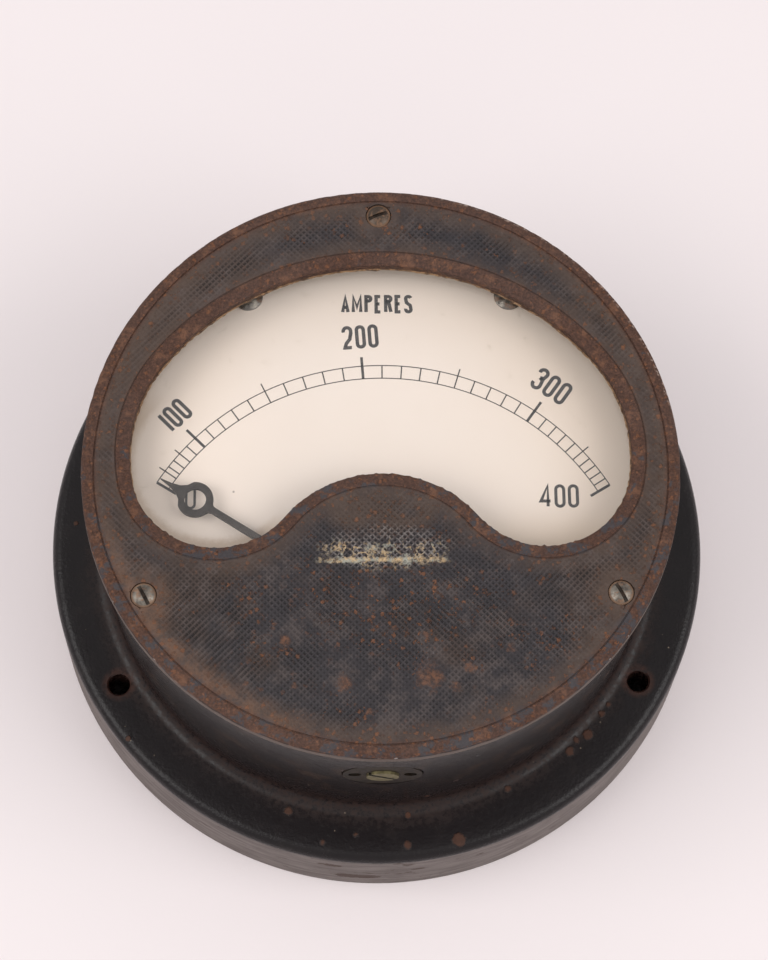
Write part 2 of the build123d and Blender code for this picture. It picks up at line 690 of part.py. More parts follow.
def damper_lid():
    lid = damper_outline(DAMPER_TOP_Z, DAMPER_TOP_Z + 0.8, DAMPER_SKIN)
    for x, y in lid_screw_places():
        lid += rod(2.4, DAMPER_TOP_Z, DAMPER_TOP_Z + 0.8, x, y)
    for x, y in lid_screw_places():
        lid -= rod(1.1, DAMPER_TOP_Z - 1, DAMPER_TOP_Z + 2, x, y)
    return lid


def damper_box_with_lugs():
    """The box, with three lugs outside its wall for the lid's screws."""
    box = damper_box()
    inside = damper_outline(DAMPER_FLOOR_Z + 0.8, DAMPER_TOP_Z + 1, 0)
    for x, y in lid_screw_places():
        lug = rod(2.4, DAMPER_TOP_Z - 5, DAMPER_TOP_Z, x, y) - inside
        box += lug - rod(1.05, DAMPER_TOP_Z - 4, DAMPER_TOP_Z + 1, x, y)
    return box


def damper_lid_screws():
    low = DAMPER_TOP_Z + 0.8
    screws = []
    for x, y in lid_screw_places():
        head = slotted_head(1.9, low, low + 1.1, x, y, 30)
        screws.append(head + rod(1.0, DAMPER_TOP_Z - 3.5, low, x, y))
    return screws


def stop_posts():
    """Two posts on the damper lid that the pointer's tail meets at each end of its travel."""
    touch = math.degrees(math.asin((TAIL_R + STOP_POST_R + 0.15) / STOP_POST_CIRCLE))
    posts = []
    low = DAMPER_TOP_Z + 0.8
    for angle in (TAIL_ANGLE + SWEEP_BACK + touch, TAIL_ANGLE - SWEEP_UP - touch):
        x, y = on_circle(STOP_POST_CIRCLE, angle, PIVOT)
        posts.append(rod(STOP_POST_R, low, TAIL_Z + 1.4, x, y) + rod(1.4, low, low + 1.0, x, y))
    return posts


# --- moving system ----------------------------------------------------------------------------

def spindle():
    low = SPINDLE_FOOT_Z + SPINDLE_CONE
    high = SPINDLE_TOP_Z - SPINDLE_CONE
    body = rod(SPINDLE_R, low, high)
    body += Pos(0, 0, SPINDLE_FOOT_Z) * Cone(TIP_R, SPINDLE_R, SPINDLE_CONE, align=BOTTOM)
    body += Pos(0, 0, high) * Cone(SPINDLE_R, TIP_R, SPINDLE_CONE, align=BOTTOM)
    return about_pivot(body)


def iron_carrier():
    body = rod(2.3, 41, 59)
    for low in (42.0, 56.5):
        body += block(0, 6.85, -1.2, 1.2, low, low + 1.2)
    return about_pivot(body - rod(SPINDLE_R, 0, 100), TAIL_ANGLE)


def moving_iron():
    return about_pivot(sector(7.5, 6.95, -36, 36, 40, 60), TAIL_ANGLE)


def spring_collet():
    return about_pivot(tube(3.0, SPINDLE_R, SPRING_Z[0] - 0.6, SPRING_Z[1] + 0.6))


def damper_vane():
    """A light collar and wire arm, and the flat vane that swings in the damper box."""
    collar = rod(2.3, VANE_Z - 1.5, VANE_Z + 1.5)
    arm = Pos(9, 0, VANE_Z) * Rot(0, 90, 0) * Cylinder(0.5, 14)
    vane = block(DAMPER_INNER_R + 1.3, DAMPER_BORE_R - 0.5, -0.25, 0.25, VANE_Z - 3.6, VANE_Z + 3.2)
    body = collar + arm + vane - rod(SPINDLE_R, 0, 100)
    return about_pivot(body, TAIL_ANGLE)


def pointer_hub():
    return about_pivot(tube(HUB_R, SPINDLE_R, *HUB_Z))


def pointer_outline():
    """Stem, ring and spear point, drawn along +X from the pivot."""
    stem = make_face(Polyline(
        (HUB_R - 0.3, 1.15), (POINTER_RING_CENTRE - 4, 0.95), (POINTER_RING_CENTRE - 4, -0.95),
        (HUB_R - 0.3, -1.15), close=True))
    flank = [(66.4, 4.2), (68.6, 2.4), (70.6, 1.25), (73.0, 0.5), (POINTER_TIP, 0.06)]
    upper = Spline(*flank)
    lower = Spline(*[(x, -y) for x, y in flank])
    base = Line(flank[0], (flank[0][0], -flank[0][1]))
    nose = Line(flank[-1], (flank[-1][0], -flank[-1][1]))
    spear = make_face(Wire([upper, nose, lower, base]))
    ring = Pos(POINTER_RING_CENTRE, 0) * Circle(POINTER_RING_R)
    return stem + spear + ring - Pos(POINTER_RING_CENTRE, 0) * Circle(POINTER_RING_BORE_R)


def pointer():
    low, high = POINTER_Z
    body = Pos(0, 0, low) * extrude(pointer_outline(), high - low)
    return about_pivot(body - rod(HUB_R, 0, 100), REST_ANGLE)


def balance_arm():
    arm = Pos((HUB_R + TAIL_END) / 2, 0, TAIL_Z) * Rot(0, 90, 0) * Cylinder(TAIL_R, TAIL_END - HUB_R)
    return about_pivot(arm - rod(HUB_R, 0, 100), TAIL_ANGLE)


def balance_weight():
    weight = Pos(9.5, 0, TAIL_Z) * Rot(0, 90, 0) * (Cylinder(2.0, 4) - Cylinder(TAIL_R, 5))
    return about_pivot(weight, TAIL_ANGLE)


def hairspring():
    """A flat spiral strip from the collet to the zero lever's stud."""
    def spiral(shift):
        steps = SPRING_TURNS * 12
        points = []
        for i in range(steps + 1):
            share = i / steps
            radius = SPRING_INNER_R + (SPRING_OUTER_R - SPRING_STRIP - SPRING_INNER_R) * share
            points.append(on_circle(radius + shift, 90 + 360 * SPRING_TURNS * share))
        return points
    inner, outer = spiral(0.0), spiral(SPRING_STRIP)
    edges = [Spline(*inner), Line(inner[-1], outer[-1]), Spline(*outer), Line(outer[0], inner[0])]
    strip = extrude(make_face(Wire(edges)), SPRING_Z[1] - SPRING_Z[0])
    return about_pivot(Pos(0, 0, SPRING_Z[0]) * strip)


# --- zero adjuster ----------------------------------------------------------------------------

def zero_lever():
    """A ring on the bush, with a short arm for the spring stud and a long forked arm."""
    low, high = LEVER_Z
    body = rod(LEVER_RING_R, low, high) + block(-2.2, 2.2, 5, SPRING_STUD_CIRCLE + 2, low, high)
    body += block(-2.8, 2.8, FORK_Y[0], -5, low, high)
    half_slot = ZERO_PIN_R + FORK_CLEARANCE
    for side in (-1, 1):
        x0, x1 = sorted((side * half_slot, side * 2.8))
        body += block(x0, x1, *FORK_Y, low, ADJUSTER_Z + 4)
    body -= rod(LEVER_BORE_R, low - 1, high + 1)
    return about_pivot(body - rod(STOP_POST_R, low - 1, high + 1, 0, SPRING_STUD_CIRCLE))


def spring_stud():
    return about_pivot(rod(STOP_POST_R, LEVER_Z[0], SPRING_Z[1] + 0.8, 0, SPRING_STUD_CIRCLE))


def adjuster_plate():
    """The round plate and hollow body that guide the zero screw through the wall."""
    face_y = ADJUSTER_SEAT_Y - 1.2
    body = along_y(ADJUSTER_PLATE_R, face_y, ADJUSTER_SEAT_Y)
    body += along_y(ADJUSTER_BODY_R, ADJUSTER_SEAT_Y, ADJUSTER_SEAT_Y + 7.2)
    body -= along_y(ZERO_SHAFT_R + RUN, face_y - 1, ADJUSTER_SEAT_Y + 8)
    body -= along_y(4.75, face_y - 1, face_y + 0.6)
    for x in (-SPANNER_HOLE_X, SPANNER_HOLE_X):
        body -= along_y(SPANNER_HOLE_R, face_y - 1, face_y + 0.8, x)
    return body


def adjuster_nut():
    hexagon = RegularPolygon(9.0, 6, major_radius=False)
    inner_wall_y = -math.sqrt(TUBE_BORE_R ** 2 - 10.4 ** 2)
    body = Pos(0, inner_wall_y + 3.2, ADJUSTER_Z) * Rot(90, 0, 0) * extrude(hexagon, 3.0)
    return body - along_y(ADJUSTER_BODY_R + RUN, -90, -60)


def zero_screw():
    """Slotted head outside, plain shaft, and an eccentric pin inside that works the fork."""
    face_y = ADJUSTER_SEAT_Y - 1.2
    inner_end = PIVOT[1] - 26.9
    body = along_y(4.7, face_y - 0.8, face_y + 0.55)
    body += along_y(ZERO_SHAFT_R, face_y, inner_end)
    body += along_y(ZERO_PIN_R, inner_end, inner_end + 7.4, 0, ADJUSTER_Z + ZERO_PIN_OFFSET)
    slot = Pos(0, face_y - 0.8, ADJUSTER_Z) * Rot(0, 38, 0) * Box(12, 1.6, 1.1)
    return body - slot


def zero_screw_collar():
    end = ADJUSTER_SEAT_Y + 7.2 + RUN
    return along_y(4.6, end, end + 2.2) - along_y(ZERO_SHAFT_R, end - 1, end + 4)


PARTS = {
    "case_shell": case_shell, "front_cover": front_cover, "cover_gasket": cover_gasket,
    "cover_screws": cover_screws, "window_glass": window_glass, "glass_gasket": glass_gasket,
    "glass_clips": glass_clips, "glass_clip_screws": glass_clip_screws,
    "dial_plate": dial_plate, "dial_screws": dial_screws, "dial_pillars": dial_pillars,
    "dial_pillar_screws": lambda: rear_screws(DIAL_SCREW_PLACES, WEB_Z + 8),
    "back_plate": back_plate,
    "back_plate_screws": lambda: rear_screws(plate_screw_places(), WEB_Z + 6),
    "terminal_studs": terminal_studs, "terminal_washers": terminal_washers,
    "terminal_nuts": terminal_nuts, "terminal_inner_nuts": terminal_inner_nuts,
    "terminal_tags": terminal_tags, "coil_leads": coil_leads,
    "movement_base": movement_base,
    "movement_base_screws": lambda: rear_screws(BASE_SCREW_PLACES, BASE_TOP_Z - 0.2),
    "frame_pillars": frame_pillars, "pillar_spacers": pillar_spacers, "pillar_nuts": pillar_nuts,
    "coil_bobbin": coil_bobbin, "coil_winding": coil_winding, "fixed_iron": fixed_iron,
    "lower_bearing_screw": lower_bearing_screw, "upper_bearing_screw": upper_bearing_screw,
    "bearing_jewels": bearing_jewels, "bearing_lock_nuts": bearing_lock_nuts,
    "spring_bridge": spring_bridge, "top_bridge": top_bridge,
    "damper_box": damper_box_with_lugs, "damper_lid": damper_lid,
    "damper_lid_screws": damper_lid_screws, "stop_posts": stop_posts,
    "spindle": spindle, "iron_carrier": iron_carrier, "moving_iron": moving_iron,
    "spring_collet": spring_collet, "damper_vane": damper_vane, "pointer_hub": pointer_hub,
    "pointer": pointer, "balance_arm": balance_arm, "balance_weight": balance_weight,
    "hairspring": hairspring, "zero_lever": zero_lever, "spring_stud": spring_stud,
    "adjuster_plate": adjuster_plate, "adjuster_nut": adjuster_nut, "zero_screw": zero_screw,
    "zero_screw_collar": zero_screw_collar,
}


def main():
    os.makedirs("parts", exist_ok=True)
    for name, make in PARTS.items():
        made = make()
        shape = Compound(children=made) if isinstance(made, list) else made
        export_step(shape, "parts/" + name + ".step")


main()
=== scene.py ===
import json
import math

import bpy
import bmesh
import numpy as np
from mathutils import Matrix, Vector, noise

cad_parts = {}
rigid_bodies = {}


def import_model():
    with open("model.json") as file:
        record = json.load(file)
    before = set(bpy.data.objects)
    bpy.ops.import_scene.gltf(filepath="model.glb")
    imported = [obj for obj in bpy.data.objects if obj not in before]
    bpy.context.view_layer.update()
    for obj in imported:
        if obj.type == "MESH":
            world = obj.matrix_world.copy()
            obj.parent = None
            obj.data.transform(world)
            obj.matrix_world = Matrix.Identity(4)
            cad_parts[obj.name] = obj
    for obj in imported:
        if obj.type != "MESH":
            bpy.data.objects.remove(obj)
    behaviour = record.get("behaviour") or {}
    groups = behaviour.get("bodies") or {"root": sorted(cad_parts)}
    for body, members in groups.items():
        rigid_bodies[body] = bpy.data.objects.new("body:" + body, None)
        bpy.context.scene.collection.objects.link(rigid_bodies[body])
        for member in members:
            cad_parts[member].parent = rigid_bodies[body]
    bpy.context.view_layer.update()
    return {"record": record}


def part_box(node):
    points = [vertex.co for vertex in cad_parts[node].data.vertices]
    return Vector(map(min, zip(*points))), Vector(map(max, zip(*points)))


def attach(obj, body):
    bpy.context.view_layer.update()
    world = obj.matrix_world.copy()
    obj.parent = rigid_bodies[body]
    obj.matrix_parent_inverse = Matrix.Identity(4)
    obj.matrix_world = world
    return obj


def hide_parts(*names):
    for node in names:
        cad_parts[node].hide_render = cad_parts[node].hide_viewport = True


# A round switchboard ammeter on its back. Shapes are worked out in millimetres in the CAD frame
# (+Z out of the dial, +Y to twelve o'clock, origin on the back rim) and made in metres.

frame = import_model()
MM = 0.001


def polar(radius, degrees, centre=(0.0, 0.0)):
    turn = math.radians(degrees)
    return (centre[0] + radius * math.cos(turn), centre[1] + radius * math.sin(turn))


MOUNT_HOLES_AT = [polar(92.0, angle) for angle in (90, 210, 330)]
COVER_SCREWS_AT = [polar(77.8, angle) for angle in (90, 210, 330)]
COVER_FACE_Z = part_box("front_cover")[1].z / MM
COVER_EDGE_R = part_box("front_cover")[1].x / MM
GLASS_TOP_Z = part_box("window_glass")[1].z / MM
DIAL_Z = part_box("dial_plate")[1].z / MM
PIVOT = (0.0, -42.0)
ADJUSTER_Z = 73.0
ZERO_SLOT_TURN = 38.0


# --- mesh helpers -----------------------------------------------------------------------------

def arc(cx, cy, radius, first, last, steps):
    """Points along an arc, both ends included."""
    return [polar(radius, first + (last - first) * i / steps, (cx, cy)) for i in range(steps + 1)]


def smooth_by_angle(mesh, degrees):
    mesh.polygons.foreach_set("use_smooth", [True] * len(mesh.polygons))
    mesh.set_sharp_from_angle(angle=math.radians(degrees))


def mesh_object(name, points, faces, sharp=35):
    """A new object from points in millimetres."""
    mesh = bpy.data.meshes.new(name)
    mesh.from_pydata([tuple(c * MM for c in p) for p in points], [], faces)
    mesh.validate()
    mesh.update()
    smooth_by_angle(mesh, sharp)
    made = bpy.data.objects.new(name, mesh)
    bpy.context.scene.collection.objects.link(made)
    return made


def place(piece, body, slot, replaces=(), material=None):
    """Give a finished piece its material, that of its slot unless one is given, put it in its body and
    hide the CAD nodes it replaces.
    """
    piece.data.materials.clear()
    piece.data.materials.append(material or MATERIALS[slot])
    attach(piece, body)
    if replaces:
        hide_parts(*replaces)
    return piece


def loops_to_faces(count, rows, closed_rows):
    """Quads between successive loops of count points each."""
    faces = []
    for row in range(rows if closed_rows else rows - 1):
        here, there = row * count, ((row + 1) % rows) * count
        for i in range(count):
            j = (i + 1) % count
            faces.append((here + i, here + j, there + j, there + i))
    return faces


def lathe_shape(profile, segments, closed=True):
    """Points and faces of a profile of (radius, height) turned about the Z axis."""
    points = []
    for radius, height in profile:
        for i in range(segments):
            x, y = polar(radius, 360.0 * i / segments)
            points.append((x, y, height))
    faces = loops_to_faces(segments, len(profile), closed)
    if not closed:
        last = (len(profile) - 1) * segments
        faces.append(tuple(range(segments))[::-1])
        faces.append(tuple(range(last, last + segments)))
    return points, faces


def lathe(name, profile, segments=96, closed=False, sharp=35, at=(0, 0, 0), turn=None):
    """A turned object; an open profile is closed by a disc at each end."""
    points, faces = lathe_shape(profile, segments, closed)
    made = mesh_object(name, points, faces, sharp)
    fix_normals(made)
    move = Matrix.Translation(Vector(at) * MM)
    made.data.transform(move @ turn if turn else move)
    return made


def fix_normals(made):
    bm = bmesh.new()
    bm.from_mesh(made.data)
    bmesh.ops.recalc_face_normals(bm, faces=bm.faces)
    bm.to_mesh(made.data)
    bm.free()


def rod(name, radius, low, high, x=0.0, y=0.0, segments=48):
    return lathe(name, [(radius, low), (radius, high)], segments, at=(x, y, 0))


def prism(name, outline, low, high, sharp=35):
    """A solid between two heights with the given outline."""
    count = len(outline)
    points = [(x, y, low) for x, y in outline] + [(x, y, high) for x, y in outline]
    faces = [(i, (i + 1) % count, count + (i + 1) % count, count + i) for i in range(count)]
    faces.append(tuple(range(count))[::-1])
    faces.append(tuple(range(count, 2 * count)))
    made = mesh_object(name, points, faces, sharp)
    fix_normals(made)
    return made


def box_shape(name, size, matrix):
    """A cuboid of the given size, used only as a cutter."""
    half = [s / 2 for s in size]
    outline = [(-half[0], -half[1]), (half[0], -half[1]), (half[0], half[1]), (-half[0], half[1])]
    made = prism(name, outline, -half[2], half[2])
    made.data.transform(matrix)
    return made


def at_mm(x, y, z):
    return Matrix.Translation(Vector((x, y, z)) * MM)


def apply_modifiers(made):
    graph = bpy.context.evaluated_depsgraph_get()
    mesh = bpy.data.meshes.new_from_object(made.evaluated_get(graph))
    old = made.data
    made.modifiers.clear()
    made.data = mesh
    bpy.data.meshes.remove(old)
    mesh.name = made.name


def combine(made, tools, operation):
    """Boolean with each tool in turn; the tools are used up."""
    for tool in tools:
        step = made.modifiers.new("step", "BOOLEAN")
        step.operation = operation
        step.solver = "EXACT"
        step.object = tool
        apply_modifiers(made)
        bpy.data.objects.remove(tool)
    return made


def bevel(made, width, segments=2, degrees=40):
    """Round the sharp edges of a finished mesh."""
    step = made.modifiers.new("bevel", "BEVEL")
    step.width = width * MM
    step.segments = segments
    step.limit_method = "ANGLE"
    step.angle_limit = math.radians(degrees)
    step.harden_normals = False
    apply_modifiers(made)
    return made


def join(name, parts):
    """One object from several, with their meshes put together."""
    bm = bmesh.new()
    for part in parts:
        part.data.transform(part.matrix_world)
        bm.from_mesh(part.data)
    mesh = bpy.data.meshes.new(name)
    bm.to_mesh(mesh)
    bm.free()
    for part in parts:
        bpy.data.objects.remove(part)
    made = bpy.data.objects.new(name, mesh)
    bpy.context.scene.collection.objects.link(made)
    return made


def wobble(x, y, z, scale, seed):
    """Smooth noise from -1 to 1 at a place in millimetres."""
    return noise.noise(Vector((x / scale + seed, y / scale, z / scale)))


def smoothstep(low, high, value):
    share = min(1.0, max(0.0, (value - low) / (high - low)))
    return share * share * (3 - 2 * share)


# --- material helpers -------------------------------------------------------------------------

class Finish:
    """One material under construction. Its textures are laid out in millimetres."""

    def __init__(self, name):
        self.material = bpy.data.materials.new(name)
        self.material.use_nodes = True
        self.tree = self.material.node_tree
        self.shader = self.tree.nodes["Principled BSDF"]
        self.output = self.tree.nodes["Material Output"]
        coordinates = self.add("ShaderNodeTexCoord").outputs["Object"]
        scaled = self.add("ShaderNodeVectorMath", operation="SCALE")
        scaled.inputs["Scale"].default_value = 1.0 / MM
        self.link(coordinates, scaled.inputs[0])
        self.place = scaled.outputs[0]
        split = self.add("ShaderNodeSeparateXYZ")
        self.link(self.place, split.inputs[0])
        self.x, self.y, self.z = split.outputs

    def add(self, kind, **settings):
        node = self.tree.nodes.new(kind)
        for key, value in settings.items():
            setattr(node, key, value)
        return node

    def link(self, source, target):
        self.tree.links.new(source, target)

    def feed(self, target, value):
        if isinstance(value, bpy.types.NodeSocket):
            self.link(value, target)
        elif isinstance(value, tuple) and len(value) == 3 and target.type == "RGBA":
            target.default_value = (*value, 1.0)
        else:
            target.default_value = value

    def math(self, operation, a, b=0.0, clamp=False):
        node = self.add("ShaderNodeMath", operation=operation, use_clamp=clamp)
        self.feed(node.inputs[0], a)
        self.feed(node.inputs[1], b)
        return node.outputs[0]

    def times(self, a, b):
        return self.math("MULTIPLY", a, b)

    def plus(self, a, b, clamp=False):
        return self.math("ADD", a, b, clamp)

    def minus(self, a, b):
        return self.math("SUBTRACT", a, b)

    def most(self, a, b):
        return self.math("MAXIMUM", a, b)

    def step(self, value, low, high):
        """0 below low and 1 above high, smooth between; low may be the larger one."""
        node = self.add("ShaderNodeMapRange", interpolation_type="SMOOTHSTEP")
        self.feed(node.inputs["Value"], value)
        if low < high:
            node.inputs["From Min"].default_value = low
            node.inputs["From Max"].default_value = high
            return node.outputs[0]
        node.inputs["From Min"].default_value = high
        node.inputs["From Max"].default_value = low
        return self.minus(1.0, node.outputs[0])

    def noise(self, size, detail=4.0, rough=0.55, warp=0.0, squash=None):
        """Noise from 0 to 1 whose blobs are about size millimetres across."""
        node = self.add("ShaderNodeTexNoise")
        node.inputs["Scale"].default_value = 1.0 / size
        node.inputs["Detail"].default_value = detail
        node.inputs["Roughness"].default_value = rough
        node.inputs["Distortion"].default_value = warp
        vector = self.place
        if squash:
            stretch = self.add("ShaderNodeVectorMath", operation="MULTIPLY")
            self.link(vector, stretch.inputs[0])
            stretch.inputs[1].default_value = squash
            vector = stretch.outputs[0]
        self.link(vector, node.inputs["Vector"])
        return node.outputs["Fac"]

    def blobs(self, low, high, size, detail=4.0, rough=0.55):
        """A noise field turned into soft-edged blobs: 0 below its value low, 1 above high."""
        return self.step(self.noise(size, detail, rough), low, high)

    def specks(self, size, share, ragged=0.35):
        """1 in scattered ragged specks, one to a cell of this size; share is their radius in cells."""
        node = self.add("ShaderNodeTexVoronoi", feature="F1")
        node.inputs["Scale"].default_value = 1.0 / size
        self.link(self.place, node.inputs["Vector"])
        tear = self.times(self.noise(size * share * 0.8, 3.0, 0.6), 2 * share * ragged)
        reach = self.plus(node.outputs["Distance"], tear)
        return self.step(reach, share * (1 + ragged), share * (0.75 + ragged))

    def veins(self, size, width):
        """1 along thin winding lines, like the contours of a noise field."""
        field = self.noise(size, 2.5, 0.5)
        return self.step(self.math("ABSOLUTE", self.minus(field, 0.5)), width, width * 0.3)

    def mix(self, share, a, b):
        node = self.add("ShaderNodeMix", data_type="RGBA")
        self.feed(node.inputs["Factor"], share)
        self.feed(node.inputs[6], a)
        self.feed(node.inputs[7], b)
        return node.outputs[2]

    def coat(self, colour, where, share, over):
        """The colour with this share of another laid over it where the mask is 1."""
        return self.mix(self.times(where, share), colour, over)

    def blend(self, share, a, b):
        node = self.add("ShaderNodeMix", data_type="FLOAT")
        self.feed(node.inputs[0], share)
        self.feed(node.inputs[2], a)
        self.feed(node.inputs[3], b)
        return node.outputs[0]

    def attribute(self, name):
        return self.add("ShaderNodeAttribute", attribute_name=name).outputs["Fac"]

    def radius(self, cx=0.0, cy=0.0, kx=1.0, ky=1.0):
        """Distance in plan from a centre, each axis scaled."""
        dx = self.times(self.minus(self.x, cx), kx)
        dy = self.times(self.minus(self.y, cy), ky)
        squares = self.plus(self.times(dx, dx), self.times(dy, dy))
        return self.math("SQRT", squares)

    def bump(self, height, depth, under=None):
        """A normal from a height of 0 to 1 that stands for depth millimetres."""
        node = self.add("ShaderNodeBump")
        node.inputs["Strength"].default_value = 1.0
        node.inputs["Distance"].default_value = depth * MM
        self.link(height, node.inputs["Height"])
        if under is not None:
            self.link(under, node.inputs["Normal"])
        return node.outputs[0]

    def finish(self, colour, rough, metal=0.0, normal=None, **constants):
        self.feed(self.shader.inputs["Base Color"], colour)
        self.feed(self.shader.inputs["Roughness"], rough)
        self.feed(self.shader.inputs["Metallic"], metal)
        if normal is not None:
            self.link(normal, self.shader.inputs["Normal"])
        for key, value in constants.items():
            self.shader.inputs[key.replace("_", " ")].default_value = value
        return self.material


RUST = (0.125, 0.052, 0.026)
RUST_BRIGHT = (0.25, 0.098, 0.042)
RUST_DARK = (0.050, 0.026, 0.018)


# Scrapes on the front of the pan's side: x, z, half length and half height.
FRONT_SCRAPES = ((-15.0, 23.0, 4.0, 1.5), (-7.0, 10.5, 8.0, 2.6), (12.0, 19.0, 2.5, 1.0))
# Rust blisters on the flange: place and radius.
FLANGE_BLISTERS = (
    (58.0, -68.0, 1.6), (60.0, -64.6, 1.2), (63.6, -62.8, 1.9), (68.0, -56.3, 1.3), (70.4, -53.4, 1.0),
    (-27.9, -85.8, 1.5), (-17.4, -95.3, 1.1), (-7.4, -93.0, 1.0), (7.9, -96.5, 1.5), (23.6, -95.0, 2.3),
    (38.8, -79.5, 1.2),
)


def flange_dirt(f, radius, fine, low):
    """Enamel with its dust, rust rings, blisters and grit: the colour and how spoiled it is."""
    colour = f.mix(f.noise(30.0, 5.0, 0.6), (0.0080, 0.0061, 0.0069), (0.0155, 0.0121, 0.0129))
    # Reddish dust lies at the foot of the tube and thins out across the flange.
    spread = f.plus(radius, f.times(f.noise(14.0, 4.0, 0.6), 9.0))
    dust_and_painted_light = f.times(f.step(spread, 98.0, 89.0), low)
    dust_and_painted_light = f.times(dust_and_painted_light, f.step(fine, 0.30, 0.68))
    colour = f.coat(colour, dust_and_painted_light, 0.66, (0.043, 0.022, 0.0165))
    film = f.times(f.blobs(0.50, 0.78, 8.0, 8.0, 0.75), 0.22)
    colour = f.mix(film, colour, (0.052, 0.040, 0.036))
    # Rust rings round the mounting holes.
    for x, y in MOUNT_HOLES_AT:
        ring = f.step(f.radius(x, y), 6.0, 3.9)
        ring = f.times(ring, f.step(fine, 0.25, 0.60))
        colour = f.coat(colour, ring, 0.6, (0.070, 0.030, 0.021))
    # Rust blisters on the flange and a few up the tube, then small pale specks of dirt.
    torn = f.times(f.noise(1.6, 4.0, 0.7), 2.4)
    blisters = f.times(f.specks(9.0, 0.12), f.blobs(0.52, 0.57, 26.0, 2.0, 0.5))
    for x, y, size in FLANGE_BLISTERS:
        spot = f.step(f.plus(f.radius(x, y), torn), size + 1.2, size + 0.5)
        blisters = f.most(blisters, f.times(spot, low))
    colour = f.coat(colour, blisters, 0.8, f.mix(fine, (0.030, 0.014, 0.010), (0.125, 0.052, 0.030)))
    grit = f.times(f.specks(5.0, 0.05), f.blobs(0.50, 0.58, 12.0))
    colour = f.coat(colour, grit, 0.75, (0.34, 0.26, 0.19))
    return colour, blisters, f.plus(f.plus(dust_and_painted_light, blisters), grit)


def pan_side(f):
    """Brown-grey colour of the pan's side, with its streaks and scrapes."""
    streak = f.noise(14.0, 6.0, 0.6, squash=(1.0, 1.0, 6.0))
    side_colour = f.mix(f.step(streak, 0.30, 0.70), (0.115, 0.093, 0.087), (0.205, 0.174, 0.164))
    scraped = f.step(f.noise(9.0, 6.0, 0.7, squash=(1.0, 1.0, 2.2)), 0.60, 0.64)
    side_colour = f.coat(side_colour, scraped, 0.8, (0.060, 0.038, 0.030))
    front = f.times(f.step(f.y, -60.0, -80.0), f.noise(1.5, 4.0, 0.7))
    for x, z, long, tall in FRONT_SCRAPES:
        across = f.math("DIVIDE", f.minus(f.x, x), long)
        upward = f.math("DIVIDE", f.minus(f.z, z), tall)
        reach = f.plus(f.times(across, across), f.times(upward, upward))
        scrape = f.step(f.minus(f.times(front, 3.0), reach), 0.4, 0.8)
        side_colour = f.coat(side_colour, scrape, 0.85, (0.058, 0.032, 0.024))
    return side_colour


def case_enamel():
    """Black stoving enamel, dusty and rust-flecked; the pan's side is matt and brown-grey."""
    f = Finish("case_enamel")
    radius = f.radius()
    fine = f.noise(1.6, 6.0, 0.7)
    low = f.step(f.z, 46.0, 33.0)
    colour, blisters, spoiled = flange_dirt(f, radius, fine, low)
    side = f.times(f.step(radius, 101.0, 101.35), f.step(f.z, 29.9, 29.4))
    colour = f.mix(side, colour, pan_side(f))
    wall = f.times(f.step(radius, 86.0, 84.8), f.step(f.z, 38.0, 60.0))
    tone = f.times(wall, f.blobs(0.3, 0.7, 6.0, 5.0, 0.6))
    colour = f.mix(tone, colour, (0.017, 0.0125, 0.012))
    smear = f.times(wall, f.blobs(0.50, 0.66, 10.0, 5.0, 0.65))
    colour = f.coat(colour, smear, 0.55, (0.052, 0.031, 0.022))
    rough = f.blend(side, f.blend(f.step(fine, 0.3, 0.8), 0.16, 0.32), 0.75)
    rough = f.blend(wall, rough, 0.27)
    rough = f.plus(rough, f.times(spoiled, 0.35), clamp=True)
    normal = f.bump(f.noise(3.4, 3.0, 0.5), 0.09)
    normal = f.bump(f.noise(0.9, 4.0, 0.6), 0.055, normal)
    shoulder = f.times(f.step(radius, 93.0, 99.0), low)
    normal = f.bump(f.times(shoulder, f.noise(0.8, 3.0, 0.6)), 0.16, normal)
    normal = f.bump(blisters, 0.25, normal)
    return f.finish(colour, rough, 0.0, normal, Specular_IOR_Level=0.24)


def cover_paint(f, middle, fine, pit):
    """What is left of the paint: blue-black mid-face and in drifts, browned elsewhere, with painted
    light on the upper left, painted highlights on the ridges and painted shade in the pits.
    """
    centre = f.times(f.step(f.math("ABSOLUTE", f.x), 66.0, 26.0), 0.20)
    blue = f.step(f.plus(f.noise(22.0, 4.0, 0.6), centre), 0.46, 0.68)
    brown = f.mix(middle, (0.028, 0.0195, 0.0175), (0.072, 0.049, 0.041))
    black = f.mix(middle, (0.019, 0.0160, 0.0190), (0.042, 0.036, 0.040))
    colour = f.mix(blue, brown, black)
    # Brown-grey dirt in drifts, which also fills the pits.
    dirt = f.blobs(0.47, 0.66, 9.0, 6.0, 0.7)
    colour = f.coat(colour, dirt, 0.60, (0.078, 0.059, 0.054))
    # Painted light: the upper left of the face is lightened, as if lit more strongly there.
    dust_and_painted_light = f.times(f.step(f.minus(f.y, f.x), 75.0, 115.0), 0.34)
    colour = f.mix(dust_and_painted_light, colour, (0.108, 0.076, 0.064))
    # Rubbed ridges are lighter from wear, with painted bluish highlights on them, and painted shade
    # makes the pits nearly black.
    ridge = f.step(pit, 0.30, 0.0)
    rubbed = f.times(ridge, f.blobs(0.40, 0.64, 4.5, 5.0, 0.7))
    colour = f.coat(colour, rubbed, 0.15, (0.140, 0.118, 0.118))
    painted_ridge_highlight = f.times(ridge, f.step(fine, 0.58, 0.70))
    colour = f.coat(colour, painted_ridge_highlight, 0.26, (0.23, 0.215, 0.235))
    # Painted shade: the deeper the pit, the darker, less so where dirt fills it.
    shade = f.times(pit, f.blend(dirt, 0.78, 0.48))
    return f.mix(shade, colour, (0.010, 0.0085, 0.0088)), blue


